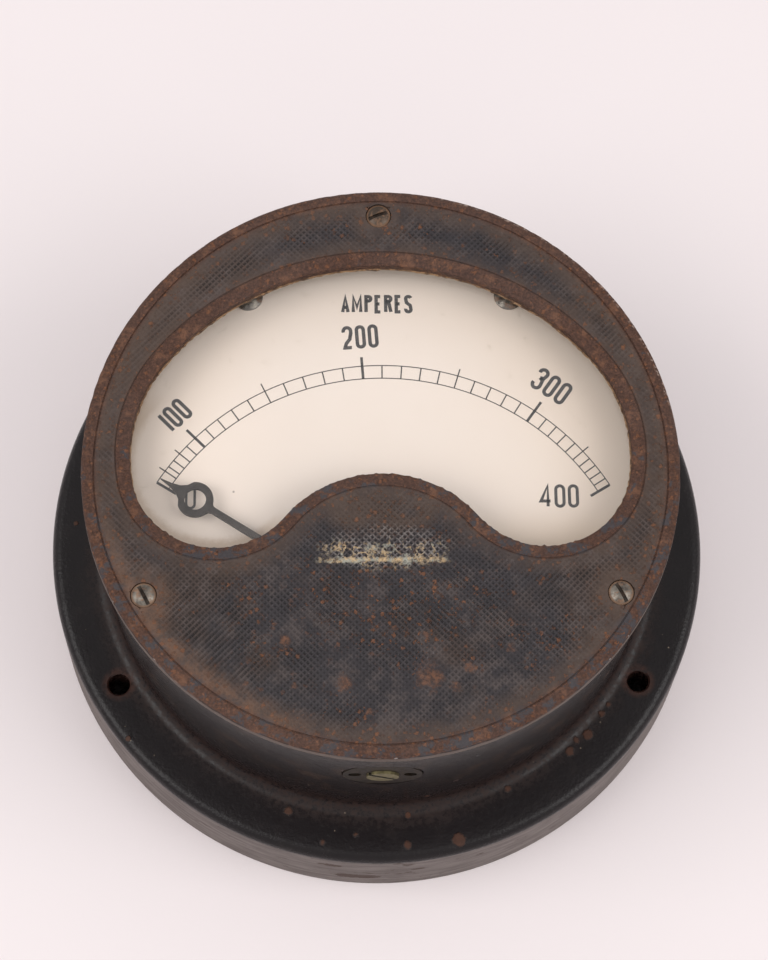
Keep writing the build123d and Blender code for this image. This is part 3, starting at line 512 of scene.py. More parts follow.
def cover_rust(f, colour, fine, grime, border):
    """Brown bloom near the borders, crisp rust on them, and scattered flecks on the face."""
    bloom = f.times(grime, f.blobs(0.28, 0.56, 11.0, 5.0, 0.65))
    colour = f.coat(colour, bloom, 0.70, f.mix(fine, (0.040, 0.025, 0.019), (0.125, 0.081, 0.060)))
    corner = f.step(f.plus(f.x, f.y), -88.0, -112.0)
    corner = f.times(f.times(corner, grime), f.blobs(0.35, 0.60, 4.0, 6.0, 0.7))
    colour = f.coat(colour, corner, 0.55, (0.190, 0.100, 0.062))
    # On the borders granular rust and dark blue-grey patches meet in sharp edges; the top is all rust.
    upper = f.times(f.step(f.y, -25.0, 35.0), 0.15)
    share = f.plus(f.noise(5.0, 7.0, 0.7), upper)
    grain = f.blobs(0.34, 0.68, 0.7, 4.0, 0.75)
    crust = f.mix(grain, (0.046, 0.0225, 0.0160), (0.112, 0.054, 0.037))
    crust = f.coat(crust, f.blobs(0.51, 0.66, 5.5, 6.0, 0.75), 0.75, (0.185, 0.085, 0.048))
    crust = f.coat(crust, f.specks(2.3, 0.17, 1.0), 0.45, (0.27, 0.115, 0.058))
    patch = f.mix(fine, (0.024, 0.0220, 0.025), (0.084, 0.077, 0.085))
    strip = f.mix(f.step(share, 0.43, 0.50), patch, crust)
    colour = f.coat(colour, border, 0.88, strip)
    # Flecks in drifts, then bright orange sparks, thickest below the window's nose.
    under_nose = f.step(f.radius(2.0, -42.0, 1.0, 1.9), 32.0, 22.0)
    drift = f.most(f.blobs(0.47, 0.62, 15.0, 4.0, 0.6), f.times(grime, 0.8))
    drift = f.most(drift, under_nose)
    flecks = f.times(f.blobs(0.565, 0.64, 2.0, 5.0, 0.7), drift)
    colour = f.coat(colour, flecks, 0.66, f.mix(grain, RUST_DARK, (0.165, 0.068, 0.034)))
    sparks = f.most(f.specks(3.0, 0.23, 1.3), f.blobs(0.62, 0.67, 1.4, 4.0, 0.75))
    sparks = f.times(sparks, drift)
    colour = f.coat(colour, sparks, 0.62, f.mix(grain, RUST, RUST_BRIGHT))
    return colour, f.most(flecks, sparks)


def nose_wear(f, colour, pit):
    """The rubbed patch below the window's nose: bright ridges, painted shade in the pits, pale veins and
    a line under them.
    """
    ragged = f.times(f.noise(4.0, 4.0, 0.7), 12.0)
    zone = f.step(f.plus(f.radius(0.8, -25.0, 1.0, 2.7), ragged), 27.0, 19.0)
    ridge = f.step(pit, 0.35, 0.05)
    speckle = f.times(f.times(zone, ridge), f.blobs(0.44, 0.60, 1.5, 5.0, 0.8))
    # Painted shade: the pits in the patch are darkened by their depth.
    colour = f.mix(f.times(zone, f.times(pit, 0.7)), colour, (0.008, 0.008, 0.011))
    colour = f.coat(colour, speckle, 0.70, (0.205, 0.185, 0.180))
    tint = f.mix(f.blobs(0.44, 0.60, 2.6, 4.0, 0.7), (0.56, 0.40, 0.23), (0.36, 0.355, 0.30))
    low = f.step(f.plus(f.y, f.times(f.noise(7.0), 6.0)), -19.0, -22.5)
    veins = f.times(f.times(f.veins(3.6, 0.060), zone), low)
    veins = f.times(veins, f.blobs(0.40, 0.58, 1.6, 5.0, 0.8))
    colour = f.coat(colour, veins, 0.72, tint)
    bend = f.plus(f.plus(f.y, 28.9), f.times(f.noise(2.4, 6.0, 0.8), 3.2))
    line = f.step(f.math("ABSOLUTE", f.minus(bend, 1.6)), 1.05, 0.25)
    line = f.times(line, f.step(f.math("ABSOLUTE", f.x), 20.5, 16.0))
    line = f.times(line, f.blobs(0.38, 0.55, 4.6, 6.0, 0.8))
    return f.coat(colour, line, 0.88, tint)


def cover_iron():
    """Worn paint on cast iron, shaded by the grime, border, pit and rust stored in the mesh."""
    f = Finish("cover_iron")
    radius = f.radius()
    grime, border = f.attribute("grime"), f.attribute("border")
    pit, rust = f.attribute("pit"), f.attribute("rust")
    fine = f.noise(0.9, 5.0, 0.75)
    colour, blue = cover_paint(f, f.noise(6.5, 6.0, 0.65), fine, pit)
    colour, flecks = cover_rust(f, colour, fine, grime, border)
    colour = nose_wear(f, colour, pit)
    # Larger rust blots, orange with a brown edge.
    torn = f.plus(rust, f.times(f.noise(2.4, 6.0, 0.8), 1.9))
    blot = f.step(torn, 1.38, 2.02)
    orange = f.blobs(0.36, 0.66, 1.5, 5.0, 0.7)
    orange = f.mix(orange, (0.044, 0.023, 0.017), (0.190, 0.082, 0.043))
    colour = f.coat(colour, blot, 0.72, orange)
    # The vertical side: smooth dusty brown, with a dark line and bare metal along its corner.
    outer = f.step(radius, 83.0, 84.0)
    side = f.times(outer, f.step(f.z, 102.65, 102.30))
    dust_and_painted_light = f.mix(f.noise(4.0, 6.0, 0.7), (0.075, 0.054, 0.046), (0.165, 0.130, 0.113))
    colour = f.mix(side, colour, dust_and_painted_light)
    corner = f.times(outer, f.step(f.math("ABSOLUTE", f.minus(f.z, 103.1)), 0.34, 0.16))
    dark_corner_line = f.times(corner, f.blobs(0.44, 0.50, 7.0, 4.0, 0.6))
    colour = f.coat(colour, dark_corner_line, 0.85, (0.010, 0.008, 0.008))
    bare = f.times(corner, f.blobs(0.60, 0.66, 2.4, 5.0, 0.7))
    flaked = f.times(f.step(radius, 84.6, 85.5), f.step(f.plus(f.x, f.y), 92.0, 108.0))
    colour = f.mix(bare, colour, (0.46, 0.43, 0.42))
    flaked = f.times(flaked, f.blobs(0.53, 0.60, 1.3, 5.0, 0.75))
    colour = f.coat(colour, flaked, 0.85, (0.40, 0.30, 0.25))
    rough = f.blend(blue, 0.66, 0.44)
    rough = f.plus(rough, f.times(f.most(flecks, border), 0.22), clamp=True)
    rough = f.blend(bare, rough, 0.35)
    normal = f.bump(f.noise(2.2, 4.0, 0.65), 0.14)
    normal = f.bump(fine, 0.06, normal)
    normal = f.bump(f.most(flecks, blot), 0.10, normal)
    grit = f.times(border, f.noise(0.8, 4.0, 0.7))
    normal = f.bump(grit, 0.22, normal)
    return f.finish(colour, rough, f.times(bare, 0.6), normal, Specular_IOR_Level=0.28)


def dial_enamel():
    """Aged cream dial, yellower and dirtier towards the window's edge, with painted shade there and on
    its right and lower right, painted light on its left, and a few fly specks.
    """
    f = Finish("dial_enamel")
    # Painted shade together with yellowing: the dial is made darker and browner towards the window's
    # edge, on its right and along its lower right.
    edge = f.step(f.radius(-4.0, -14.0, 1.0 / 76.0, 1.0 / 78.0), 0.62, 1.04)
    right = f.times(f.step(f.x, 5.0, 68.0), 0.25)
    bottom = f.times(f.step(f.y, -6.0, -24.0), f.blend(f.step(f.x, -20.0, 35.0), 0.05, 0.75))
    shade_and_yellowing = f.plus(f.plus(f.times(edge, 0.35), right), bottom, clamp=True)
    colour = f.mix(f.noise(18.0, 3.0, 0.5), (0.860, 0.742, 0.664), (0.880, 0.772, 0.700))
    # Painted light: the left part of the dial is lightened.
    colour = f.coat(colour, f.step(f.x, -22.0, -60.0), 0.8, (0.935, 0.800, 0.705))
    colour = f.mix(shade_and_yellowing, colour, (0.74, 0.590, 0.465))
    # A brown fringe where the window's left lobe hides the dial's edge.
    reach = f.plus(f.radius(-47.8, 5.8), f.times(f.noise(2.2, 5.0, 0.75), 3.0))
    fringe = f.times(f.step(reach, 24.2, 27.2), f.step(f.plus(f.x, f.y), -34.0, -52.0))
    colour = f.coat(colour, fringe, 0.55, (0.50, 0.335, 0.205))
    stains = f.times(f.blobs(0.56, 0.80, 5.0, 7.0, 0.7), f.plus(edge, 0.15, clamp=True))
    colour = f.coat(colour, stains, 0.5, (0.47, 0.36, 0.25))
    dots = f.times(f.specks(9.0, 0.045), f.blobs(0.50, 0.56, 20.0))
    colour = f.coat(colour, dots, 0.7, (0.16, 0.11, 0.08))
    return f.finish(colour, 0.62, 0.0, f.bump(f.noise(0.9, 4.0, 0.6), 0.012))


def dial_ink():
    f = Finish("dial_ink")
    fade = f.noise(2.0, 5.0, 0.7)
    colour = f.mix(f.step(fade, 0.35, 0.75), (0.030, 0.026, 0.027), (0.075, 0.066, 0.064))
    return f.finish(colour, 0.6)


def metal(name, dark, light, rough, stain, stain_share=0.35, size=3.0):
    """Tarnished metal: two tones, dull stains and fine scratches."""
    f = Finish(name)
    tone = f.noise(size, 6.0, 0.65)
    colour = f.mix(f.step(tone, 0.3, 0.7), dark, light)
    spots = f.blobs(0.62 - stain_share * 0.3, 0.72, size * 0.6, 6.0, 0.75)
    colour = f.coat(colour, spots, 0.8, stain)
    scratches = f.noise(0.5, 3.0, 0.6, squash=(6.0, 0.5, 1.0))
    shine = f.plus(rough - 0.08, f.times(f.step(tone, 0.2, 0.9), 0.18))
    shine = f.plus(shine, f.times(spots, 0.25), clamp=True)
    metalness = f.minus(1.0, f.times(spots, 0.7))
    return f.finish(colour, shine, metalness, f.bump(scratches, 0.012))


def dull(name, dark, light, rough, size=4.0, depth=0.04, grain=None):
    """A non-metal surface with mottled tone and a fine relief."""
    f = Finish(name)
    tone = f.noise(size, 6.0, 0.65, squash=grain)
    fine = f.noise(size * 0.2, 5.0, 0.7)
    colour = f.mix(f.step(tone, 0.25, 0.75), dark, light)
    shine = f.plus(rough - 0.1, f.times(fine, 0.2), clamp=True)
    return f.finish(colour, shine, 0.0, f.bump(fine, depth))


def winding():
    """Layers of enamelled copper wire round the bobbin, with painted shade in the grooves between turns
    and painted highlights on their crowns.
    """
    f = Finish("winding")
    turns = f.math("SINE", f.times(f.z, 2 * math.pi / 1.25))
    height = f.plus(f.times(turns, 0.5), 0.5)
    # Painted shade and highlight: darker in the grooves between turns, lighter on their crowns.
    colour = f.mix(height, (0.085, 0.022, 0.010), (0.34, 0.115, 0.045))
    return f.finish(colour, 0.32, 0.35, f.bump(height, 0.35))


def window_glass():
    """Clear glass with a faint film of dust; light meant for the dial passes straight through."""
    f = Finish("glass")
    shader = f.shader
    shader.inputs["Transmission Weight"].default_value = 1.0
    shader.inputs["IOR"].default_value = 1.47
    f.feed(shader.inputs["Base Color"], (0.985, 0.985, 0.98))
    haze = f.blobs(0.45, 0.85, 14.0, 6.0, 0.65)
    f.link(f.blend(haze, 0.0, 0.035), shader.inputs["Roughness"])
    clear = f.add("ShaderNodeBsdfTransparent")
    clear.inputs["Color"].default_value = (0.985, 0.985, 0.98, 1.0)
    path = f.add("ShaderNodeLightPath")
    surface = shader.outputs[0]
    for ray in ("Is Shadow Ray", "Is Diffuse Ray"):
        swap = f.add("ShaderNodeMixShader")
        f.link(path.outputs[ray], swap.inputs[0])
        f.link(surface, swap.inputs[1])
        f.link(clear.outputs[0], swap.inputs[2])
        surface = swap.outputs[0]
    f.link(surface, f.output.inputs["Surface"])
    return f.material


def zero_screw_brass():
    """Tarnished brass with painted shade in the slot, which lies at an angle across the head."""
    f = Finish("zero_screw_brass")
    tone = f.noise(1.8, 6.0, 0.65)
    colour = f.mix(f.step(tone, 0.3, 0.7), (0.115, 0.098, 0.050), (0.25, 0.215, 0.110))
    turn = math.radians(ZERO_SLOT_TURN)
    along_x = f.times(f.x, math.sin(turn))
    along_z = f.times(f.minus(f.z, ADJUSTER_Z), math.cos(turn))
    # Painted shade: a dark band along the slot.
    slot = f.step(f.math("ABSOLUTE", f.plus(along_x, along_z)), 0.85, 0.60)
    colour = f.coat(colour, slot, 0.9, (0.012, 0.010, 0.007))
    return f.finish(colour, 0.45, f.blend(slot, 0.8, 0.0), f.bump(tone, 0.02))


def jewel():
    f = Finish("jewel")
    colour = f.mix(f.noise(0.8), (0.32, 0.03, 0.06), (0.50, 0.07, 0.11))
    return f.finish(colour, 0.08, 0.0, None, Specular_IOR_Level=0.8)


def pointer_black():
    """Blackened sheet, rubbed grey along the stem."""
    f = Finish("pointer_black")
    tone = f.noise(2.5, 5.0, 0.7)
    colour = f.mix(f.step(tone, 0.3, 0.75), (0.019, 0.0145, 0.0130), (0.052, 0.0415, 0.0380))
    stem = f.step(f.radius(*PIVOT), 57.0, 40.0)
    colour = f.coat(colour, stem, 0.5, (0.140, 0.118, 0.108))
    rough = f.blend(tone, 0.38, 0.58)
    return f.finish(colour, rough, 0.0, f.bump(f.noise(0.7), 0.02), Specular_IOR_Level=0.3)


def screw_steel():
    """Steel heads gone grey-brown: painted shade in the slots, rust round them and a little bare shine.
    """
    f = Finish("screw_steel")
    tone = f.noise(2.6, 5.0, 0.6)
    colour = f.mix(f.step(tone, 0.34, 0.66), (0.060, 0.050, 0.042), (0.22, 0.195, 0.165))
    top = f.step(f.radius(*COVER_SCREWS_AT[0]), 5.0, 4.5)
    colour = f.coat(colour, top, 0.85, (0.058, 0.036, 0.023))
    head, rim = 0.0, 0.0
    for x, y in COVER_SCREWS_AT:
        reach = f.radius(x, y)
        head = f.most(head, f.step(reach, 3.15, 2.9))
        rim = f.most(rim, f.times(f.step(reach, 2.8, 3.3), f.step(reach, 5.5, 4.5)))
    rust = f.most(f.blobs(0.52, 0.62, 2.4, 5.0, 0.7), rim)
    colour = f.coat(colour, rust, 0.75, f.mix(tone, RUST_DARK, (0.36, 0.19, 0.10)))
    # Painted shade: each head's slot is darkened below the face.
    slot = f.times(f.step(f.z, COVER_FACE_Z - 0.02, COVER_FACE_Z - 0.22), f.step(f.z, 98.0, 100.0))
    slot = f.times(slot, head)
    colour = f.coat(colour, slot, 0.75, (0.030, 0.022, 0.017))
    rough = f.blend(f.most(rust, slot), 0.36, 0.75)
    return f.finish(colour, rough, f.blend(rust, 0.55, 0.05), f.bump(f.noise(0.9, 4.0, 0.6), 0.03))


def putty():
    """Crumbling sealing putty, rust-stained from cream to orange-brown."""
    f = Finish("putty")
    tone = f.blobs(0.38, 0.62, 2.2, 4.0, 0.7)
    colour = f.mix(tone, (0.080, 0.042, 0.025), (0.34, 0.205, 0.110))
    return f.finish(colour, 0.9, 0.0, f.bump(f.noise(0.5, 4.0, 0.7), 0.10))


# Metals: dark and light tone, roughness and stain, then how much is stained and the blobs' size.
METALS = {
    "spring_brass": ((0.36, 0.25, 0.09), (0.60, 0.46, 0.21), 0.38, (0.12, 0.08, 0.04)),
    "pillar_brass": ((0.40, 0.28, 0.11), (0.66, 0.51, 0.25), 0.30, (0.16, 0.10, 0.05)),
    "terminal_brass": ((0.30, 0.20, 0.08), (0.56, 0.41, 0.18), 0.34, (0.07, 0.075, 0.05), 0.5),
    "copper": ((0.36, 0.15, 0.08), (0.62, 0.33, 0.20), 0.36, (0.12, 0.05, 0.03)),
    "frame_brass": ((0.42, 0.31, 0.13), (0.64, 0.50, 0.26), 0.34, (0.20, 0.13, 0.06)),
    "soft_iron": ((0.12, 0.115, 0.11), (0.24, 0.23, 0.22), 0.45, (0.10, 0.05, 0.03)),
    "damper_alloy": ((0.48, 0.48, 0.48), (0.68, 0.68, 0.68), 0.36, (0.30, 0.30, 0.29), 0.2),
    "spindle_steel": ((0.42, 0.42, 0.42), (0.60, 0.60, 0.60), 0.22, (0.20, 0.14, 0.10), 0.2),
    "spring_bronze": ((0.42, 0.22, 0.10), (0.62, 0.38, 0.19), 0.30, (0.2, 0.1, 0.05), 0.2),
    "adjuster_brass": (
        (0.017, 0.012, 0.009), (0.046, 0.033, 0.022), 0.52, (0.012, 0.009, 0.007), 0.6, 2.5),
}
# Dull surfaces: dark and light tone, roughness, size of the mottling, depth of relief and grain.
DULLS = {
    "gasket_felt": ((0.050, 0.040, 0.032), (0.14, 0.11, 0.085), 0.95, 1.2, 0.15),
    "ebonite": ((0.018, 0.014, 0.012), (0.052, 0.038, 0.030), 0.48, 9.0, 0.05),
    "fibre": ((0.16, 0.030, 0.018), (0.29, 0.075, 0.045), 0.55, 3.0, 0.03, (1.0, 1.0, 5.0)),
}
MATERIALS = {
    "case_enamel": case_enamel(),
    "cover_iron": cover_iron(),
    "screw_steel": screw_steel(),
    "glass": window_glass(),
    "dial_enamel": dial_enamel(),
    "dial_ink": dial_ink(),
    "winding": winding(),
    "jewel": jewel(),
    "pointer_black": pointer_black(),
}
MATERIALS.update({name: metal(name, *looks) for name, looks in METALS.items()})
MATERIALS.update({name: dull(name, *looks) for name, looks in DULLS.items()})
NODE_MATERIALS = {"zero_screw": zero_screw_brass()}


def dress_cad_nodes():
    """Every carried-over CAD node gets the material of its slot in the record."""
    for part in frame["record"]["subparts"]:
        mesh = bpy.data.objects[part["node"]].data
        material = NODE_MATERIALS.get(part["node"], MATERIALS[part["material_slot"]])
        if not mesh.materials:
            mesh.materials.append(material)
        for i in range(len(mesh.materials)):
            mesh.materials[i] = material


# --- window outline ---------------------------------------------------------------------------

TOP_CENTRE, TOP_R = (0.0, -17.8), 80.0
SHOULDER_R = 45.0
LOBE_CENTRE, LOBE_R = (47.0, 0.2), 25.0
NOSE_CENTRE = (0.0, -38.9)
OUTLINE_STEP = 0.75


def shoulder_centre():
    """Centre of the arc tangent inside the top arc and outside the lobe."""
    gap = math.dist(LOBE_CENTRE, TOP_CENTRE)
    to_top, to_lobe = TOP_R - SHOULDER_R, SHOULDER_R - LOBE_R
    along = (to_top ** 2 - to_lobe ** 2 + gap ** 2) / (2 * gap)
    across = math.sqrt(to_top ** 2 - along ** 2)
    ahead = Vector(LOBE_CENTRE) - Vector(TOP_CENTRE)
    ahead.normalize()
    return tuple(Vector(TOP_CENTRE) + along * ahead + across * Vector((-ahead.y, ahead.x)))


def heading(start, end):
    return math.degrees(math.atan2(end[1] - start[1], end[0] - start[0]))


def window_outline():
    """Points and outward normals of the kidney-shaped window, clockwise from the top."""
    shoulder = shoulder_centre()
    nose_r = math.dist(LOBE_CENTRE, NOSE_CENTRE) - LOBE_R
    arcs = (
        (TOP_CENTRE, TOP_R, 90.0, heading(TOP_CENTRE, shoulder), 1),
        (shoulder, SHOULDER_R, heading(TOP_CENTRE, shoulder), heading(shoulder, LOBE_CENTRE), 1),
        (LOBE_CENTRE, LOBE_R, heading(shoulder, LOBE_CENTRE), heading(LOBE_CENTRE, NOSE_CENTRE), 1),
        (NOSE_CENTRE, nose_r, heading(NOSE_CENTRE, LOBE_CENTRE), 90.0, -1),
    )
    half = []
    for centre, radius, first, last, side in arcs:
        count = max(4, round(abs(math.radians(last - first)) * radius / OUTLINE_STEP))
        for i in range(count):
            angle = first + (last - first) * i / count
            out = polar(float(side), angle)
            half.append((*polar(radius, angle, centre), *out))
    nose_top = (0.0, NOSE_CENTRE[1] + nose_r, 0.0, -1.0)
    mirrored = [(-x, y, -nx, ny) for x, y, nx, ny in half[:0:-1]]
    return np.array(half + [nose_top] + mirrored)


OUTLINE = window_outline()
STAR_POINT = (0.0, 30.0)


def window_loop(offset, z):
    """The outline moved outwards by offset, at a height."""
    moved = OUTLINE[:, :2] + OUTLINE[:, 2:] * offset
    return [(x, y, z) for x, y in moved]


def ring_loop(radius, z):
    """A circle about the case's axis, with a point for each point of the outline."""
    points = []
    for x, y in OUTLINE[:, :2]:
        dx, dy = x - STAR_POINT[0], y - STAR_POINT[1]
        length = math.hypot(dx, dy)
        dx, dy = dx / length, dy / length
        along = -(STAR_POINT[0] * dx + STAR_POINT[1] * dy)
        square = along ** 2 - STAR_POINT[0] ** 2 - STAR_POINT[1] ** 2 + radius ** 2
        reach = along + math.sqrt(square)
        points.append((STAR_POINT[0] + dx * reach, STAR_POINT[1] + dy * reach, z))
    return points


def window_distance(points):
    """Signed distance from the window's edge, positive outside it, for an array of (x, y)."""
    result = np.empty(len(points))
    for start in range(0, len(points), 4000):
        chunk = points[start:start + 4000]
        gaps = chunk[:, None, :] - OUTLINE[None, :, :2]
        lengths = np.hypot(gaps[..., 0], gaps[..., 1])
        nearest = lengths.argmin(1)
        rows = np.arange(len(chunk))
        side = (gaps[rows, nearest] * OUTLINE[nearest, 2:]).sum(1)
        result[start:start + 4000] = np.copysign(lengths[rows, nearest], side)
    return result


# --- cover ------------------------------------------------------------------------------------

HATCH_PITCH = 1.30
HATCH_DEPTH = 0.34
HATCH_SUNK = 0.45
HATCH_RIM_R = 80.8
HATCH_WINDOW_GAP = 4.9
HATCH_FADE = 5.0
SCREW_RECESS_R = 3.8
SCREW_SEAT_DROP = 1.3
# Rust blots on the face: place and rough radius.
RUST_BLOTS = (
    (13, -63, 5.2), (24, -60.5, 2.6), (20, -66, 2.2), (36, -55, 2.0), (-11, -65, 3.4), (-4, -73, 1.4),
    (-27.5, -52.5, 2.4), (-38, -58, 1.4), (-38.5, -64.5, 1.4), (-25, -65.5, 1.3), (12, -51, 1.8),
    (3, -49, 1.2),
)


def rust_share(x, y):
    """How rusty the face is here: 1 inside a blot, 0 well outside every one."""
    share = 0.0
    for bx, by, size in RUST_BLOTS:
        torn = 0.55 * wobble(x, y, 0, 0.55 * size, 7.0)
        frayed = 0.25 * wobble(x, y, 0, 0.9, 2.0)
        ragged = size * (1.0 + torn + frayed)
        share = max(share, smoothstep(1.5 * ragged, 0.15 * ragged, math.hypot(x - bx, y - by)))
    return share


def ramp(values, start, span):
    """0 before start and 1 from start + span on; a negative span runs the other way."""
    return np.clip((values - start) / span, 0, 1)


def shade_attributes(made):
    """Vertex attributes that the cover's material reads: grime, border, rust and pit."""
    mesh = made.data
    places = np.array([v.co[:] for v in mesh.vertices]) / MM
    from_window = window_distance(places[:, :2])
    radius = np.hypot(places[:, 0], places[:, 1])
    near_screw = np.full(len(places), 99.0)
    for x, y in COVER_SCREWS_AT:
        near_screw = np.minimum(near_screw, np.hypot(places[:, 0] - x, places[:, 1] - y))
    nose = np.hypot(places[:, 0] / 1.7, places[:, 1] + 11.0)
    grime = ramp(radius, 74.5, 6.0)
    for near in (ramp(from_window, 10.0, -6.0), ramp(near_screw, 11.0, -4.5), ramp(nose, 12.5, -3.5)):
        grime = np.maximum(grime, near)
    border = np.maximum(ramp(radius, 81.6, 0.8), ramp(from_window, 4.4, -0.8))
    rust = np.array([rust_share(x, y) for x, y in places[:, :2]])
    for name, values in (("grime", grime), ("border", border), ("rust", rust)):
        mesh.attributes.new(name, "FLOAT", "POINT").data.foreach_set("value", values.astype(np.float32))
    if "pit" not in mesh.attributes:
        mesh.attributes.new("pit", "FLOAT", "POINT")


def cover_body():
    """Rim, borders, scribed lines, window bevel and skirt as one closed shape."""
    top = COVER_FACE_Z
    sunk = top - HATCH_SUNK
    round_r = 1.8
    loops = [
        window_loop(0.0, 101.1), window_loop(0.0, top - 0.95), window_loop(0.12, top - 0.8),
        window_loop(3.5, top - 0.04), window_loop(3.68, top), window_loop(3.78, top - 0.30),
        window_loop(4.05, top - 0.30), window_loop(4.2, top), window_loop(HATCH_WINDOW_GAP, top),
        window_loop(HATCH_WINDOW_GAP, sunk), ring_loop(HATCH_RIM_R, sunk), ring_loop(HATCH_RIM_R, top),
        ring_loop(82.12, top), ring_loop(82.25, top - 0.35), ring_loop(82.55, top - 0.35),
        ring_loop(82.68, top),
    ]
    for i in range(7):
        x, z = polar(round_r, 90 - 15 * i, (COVER_EDGE_R - round_r, top - round_r))
        loops.append(ring_loop(x, z))
    loops += [ring_loop(COVER_EDGE_R, 100.15), ring_loop(COVER_EDGE_R - 0.15, 100.0)]
    loops += [ring_loop(80.4, 100.0), ring_loop(80.4, 101.1)]
    points = []
    for i, loop in enumerate(loops):
        for (x, y, z), (nx, ny) in zip(loop, OUTLINE[:, 2:]):
            if i in (1, 2):
                crumb = 0.75 * max(0.0, wobble(x, y, 0, 1.3, 17.0))
                x, y = x - nx * crumb, y - ny * crumb
            lift = 0.05 * wobble(x, y, 0, 5.0, 3.0) if 2 < i < len(loops) - 4 else 0.0
            eaten = 1.0
            if math.hypot(x, y) > COVER_EDGE_R - 1.5 and z > 101:
                eaten -= (0.12 + 0.20 * max(0.0, wobble(x, y, z, 2.6, 41.0))) / COVER_EDGE_R
            points.append((x * eaten, y * eaten, z + lift))
    made = mesh_object("cover_body", points, loops_to_faces(len(OUTLINE), len(loops), True), 28)
    fix_normals(made)
    cutters = []
    for x, y in COVER_SCREWS_AT:
        seat = top - SCREW_SEAT_DROP
        cutters.append(lathe("cutter", [(2.2, 95), (2.2, seat), (SCREW_RECESS_R, seat),
                                        (SCREW_RECESS_R, top + 1)], 64, at=(x, y, 0)))
    combine(made, cutters, "DIFFERENCE")
    smooth_by_angle(made.data, 28)
    return made


def cut_polygon(polygon, field):
    """The part of a convex polygon where the field at its corners is below zero."""
    kept = []
    for i, (here, value) in enumerate(zip(polygon, field)):
        there, other = polygon[(i + 1) % len(polygon)], field[(i + 1) % len(polygon)]
        if value < 0:
            kept.append(here)
        if (value < 0) != (other < 0):
            share = value / (value - other)
            kept.append(tuple(a + (b - a) * share for a, b in zip(here, there)))
    return kept


def hatch_field(points):
    """Below zero where the cover's face is hatched."""
    radius = np.hypot(points[:, 0], points[:, 1]) - HATCH_RIM_R
    field = np.maximum(radius, HATCH_WINDOW_GAP - window_distance(points))
    for x, y in COVER_SCREWS_AT:
        field = np.maximum(field, SCREW_RECESS_R - np.hypot(points[:, 0] - x, points[:, 1] - y))
    return field


def hatch_depth(x, y):
    """How deep the pits are here: shallow near the screws and where the face is worn or filled."""
    worn = 0.75 + 0.45 * wobble(x, y, 0, 9.0, 11.0) + 0.25 * wobble(x, y, 0, 2.5, 5.0)
    for sx, sy in COVER_SCREWS_AT:
        worn *= smoothstep(4.4, 7.5, math.hypot(x - sx, y - sy))
    worn = max(worn, 0.9 - 0.9 * smoothstep(15.0, 24.0, math.hypot(x, (y + 25.0) * 2.4)))
    worn *= 1.0 - 0.75 * rust_share(x, y)
    return HATCH_DEPTH * min(1.0, max(0.0, worn))


def hatch_lean(x, y):
    """Which set of grooves is cut deeper here, from -1 to 1."""
    lean = 1.9 * wobble(x, y, 0, 30.0, 21.0) + 0.5 * wobble(x, y, 0, 6.0, 23.0)
    return min(1.0, max(-1.0, lean))


def hatch_squares():
    """Concentric squares of one cell: (half size, share of the full depth)."""
    half = HATCH_PITCH / 2
    return ((half, 0.0), (half - 0.22, 0.12), (half - 0.37, 0.80), (half - 0.48, 1.0))


def cover_hatch():
    """The crossed grooves and pits of the cover's face, as real relief."""
    count = int(HATCH_RIM_R / HATCH_PITCH) + 2
    squares = hatch_squares()
    spin = Matrix.Rotation(math.radians(45), 2)
    corners = ((-1, -1), (1, -1), (1, 1), (-1, 1))
    centres = []
    for i in range(-count, count):
        for j in range(-count, count):
            centre = spin @ Vector(((i + 0.5) * HATCH_PITCH, (j + 0.5) * HATCH_PITCH))
            centres.append(tuple(centre))
    centres = np.array(centres)
    far = hatch_field(centres)
    centres, far = centres[far < HATCH_PITCH], far[far < HATCH_PITCH]
    polygons, crossing = [], []
    for (cx, cy), value in zip(centres, far):
        depth = hatch_depth(cx, cy) * (0.3 + 0.7 * smoothstep(0.0, HATCH_FADE, -value))
        lean = hatch_lean(cx, cy)
        stretch = (1 - 0.72 * max(0.0, lean), 1 - 0.72 * max(0.0, -lean))
        rings = []
        for half, share in squares:
            inset = HATCH_PITCH / 2 - half
            half_u, half_v = (HATCH_PITCH / 2 - inset * s for s in stretch)
            ring = []
            for sx, sy in corners:
                x, y = spin @ Vector((sx * half_u, sy * half_v))
                lift = 0.05 * wobble(cx + x, cy + y, 0, 5.0, 3.0)
                ring.append((cx + x, cy + y, COVER_FACE_Z + lift - depth * share, share * depth))
            rings.append(ring)
        cell = [rings[-1]]
        for outer, inner in zip(rings, rings[1:]):
            for k in range(4):
                m = (k + 1) % 4
                cell.append([outer[k], outer[m], inner[m], inner[k]])
        (crossing if value > -HATCH_PITCH else polygons).extend(cell)
    corners_of = np.array([c[:2] for p in crossing for c in p])
    values = hatch_field(corners_of).reshape(-1, 4)
    for polygon, field in zip(crossing, values):
        kept = cut_polygon(polygon, field)
        if len(kept) > 2:
            polygons.append(kept)
    return hatch_mesh(polygons)


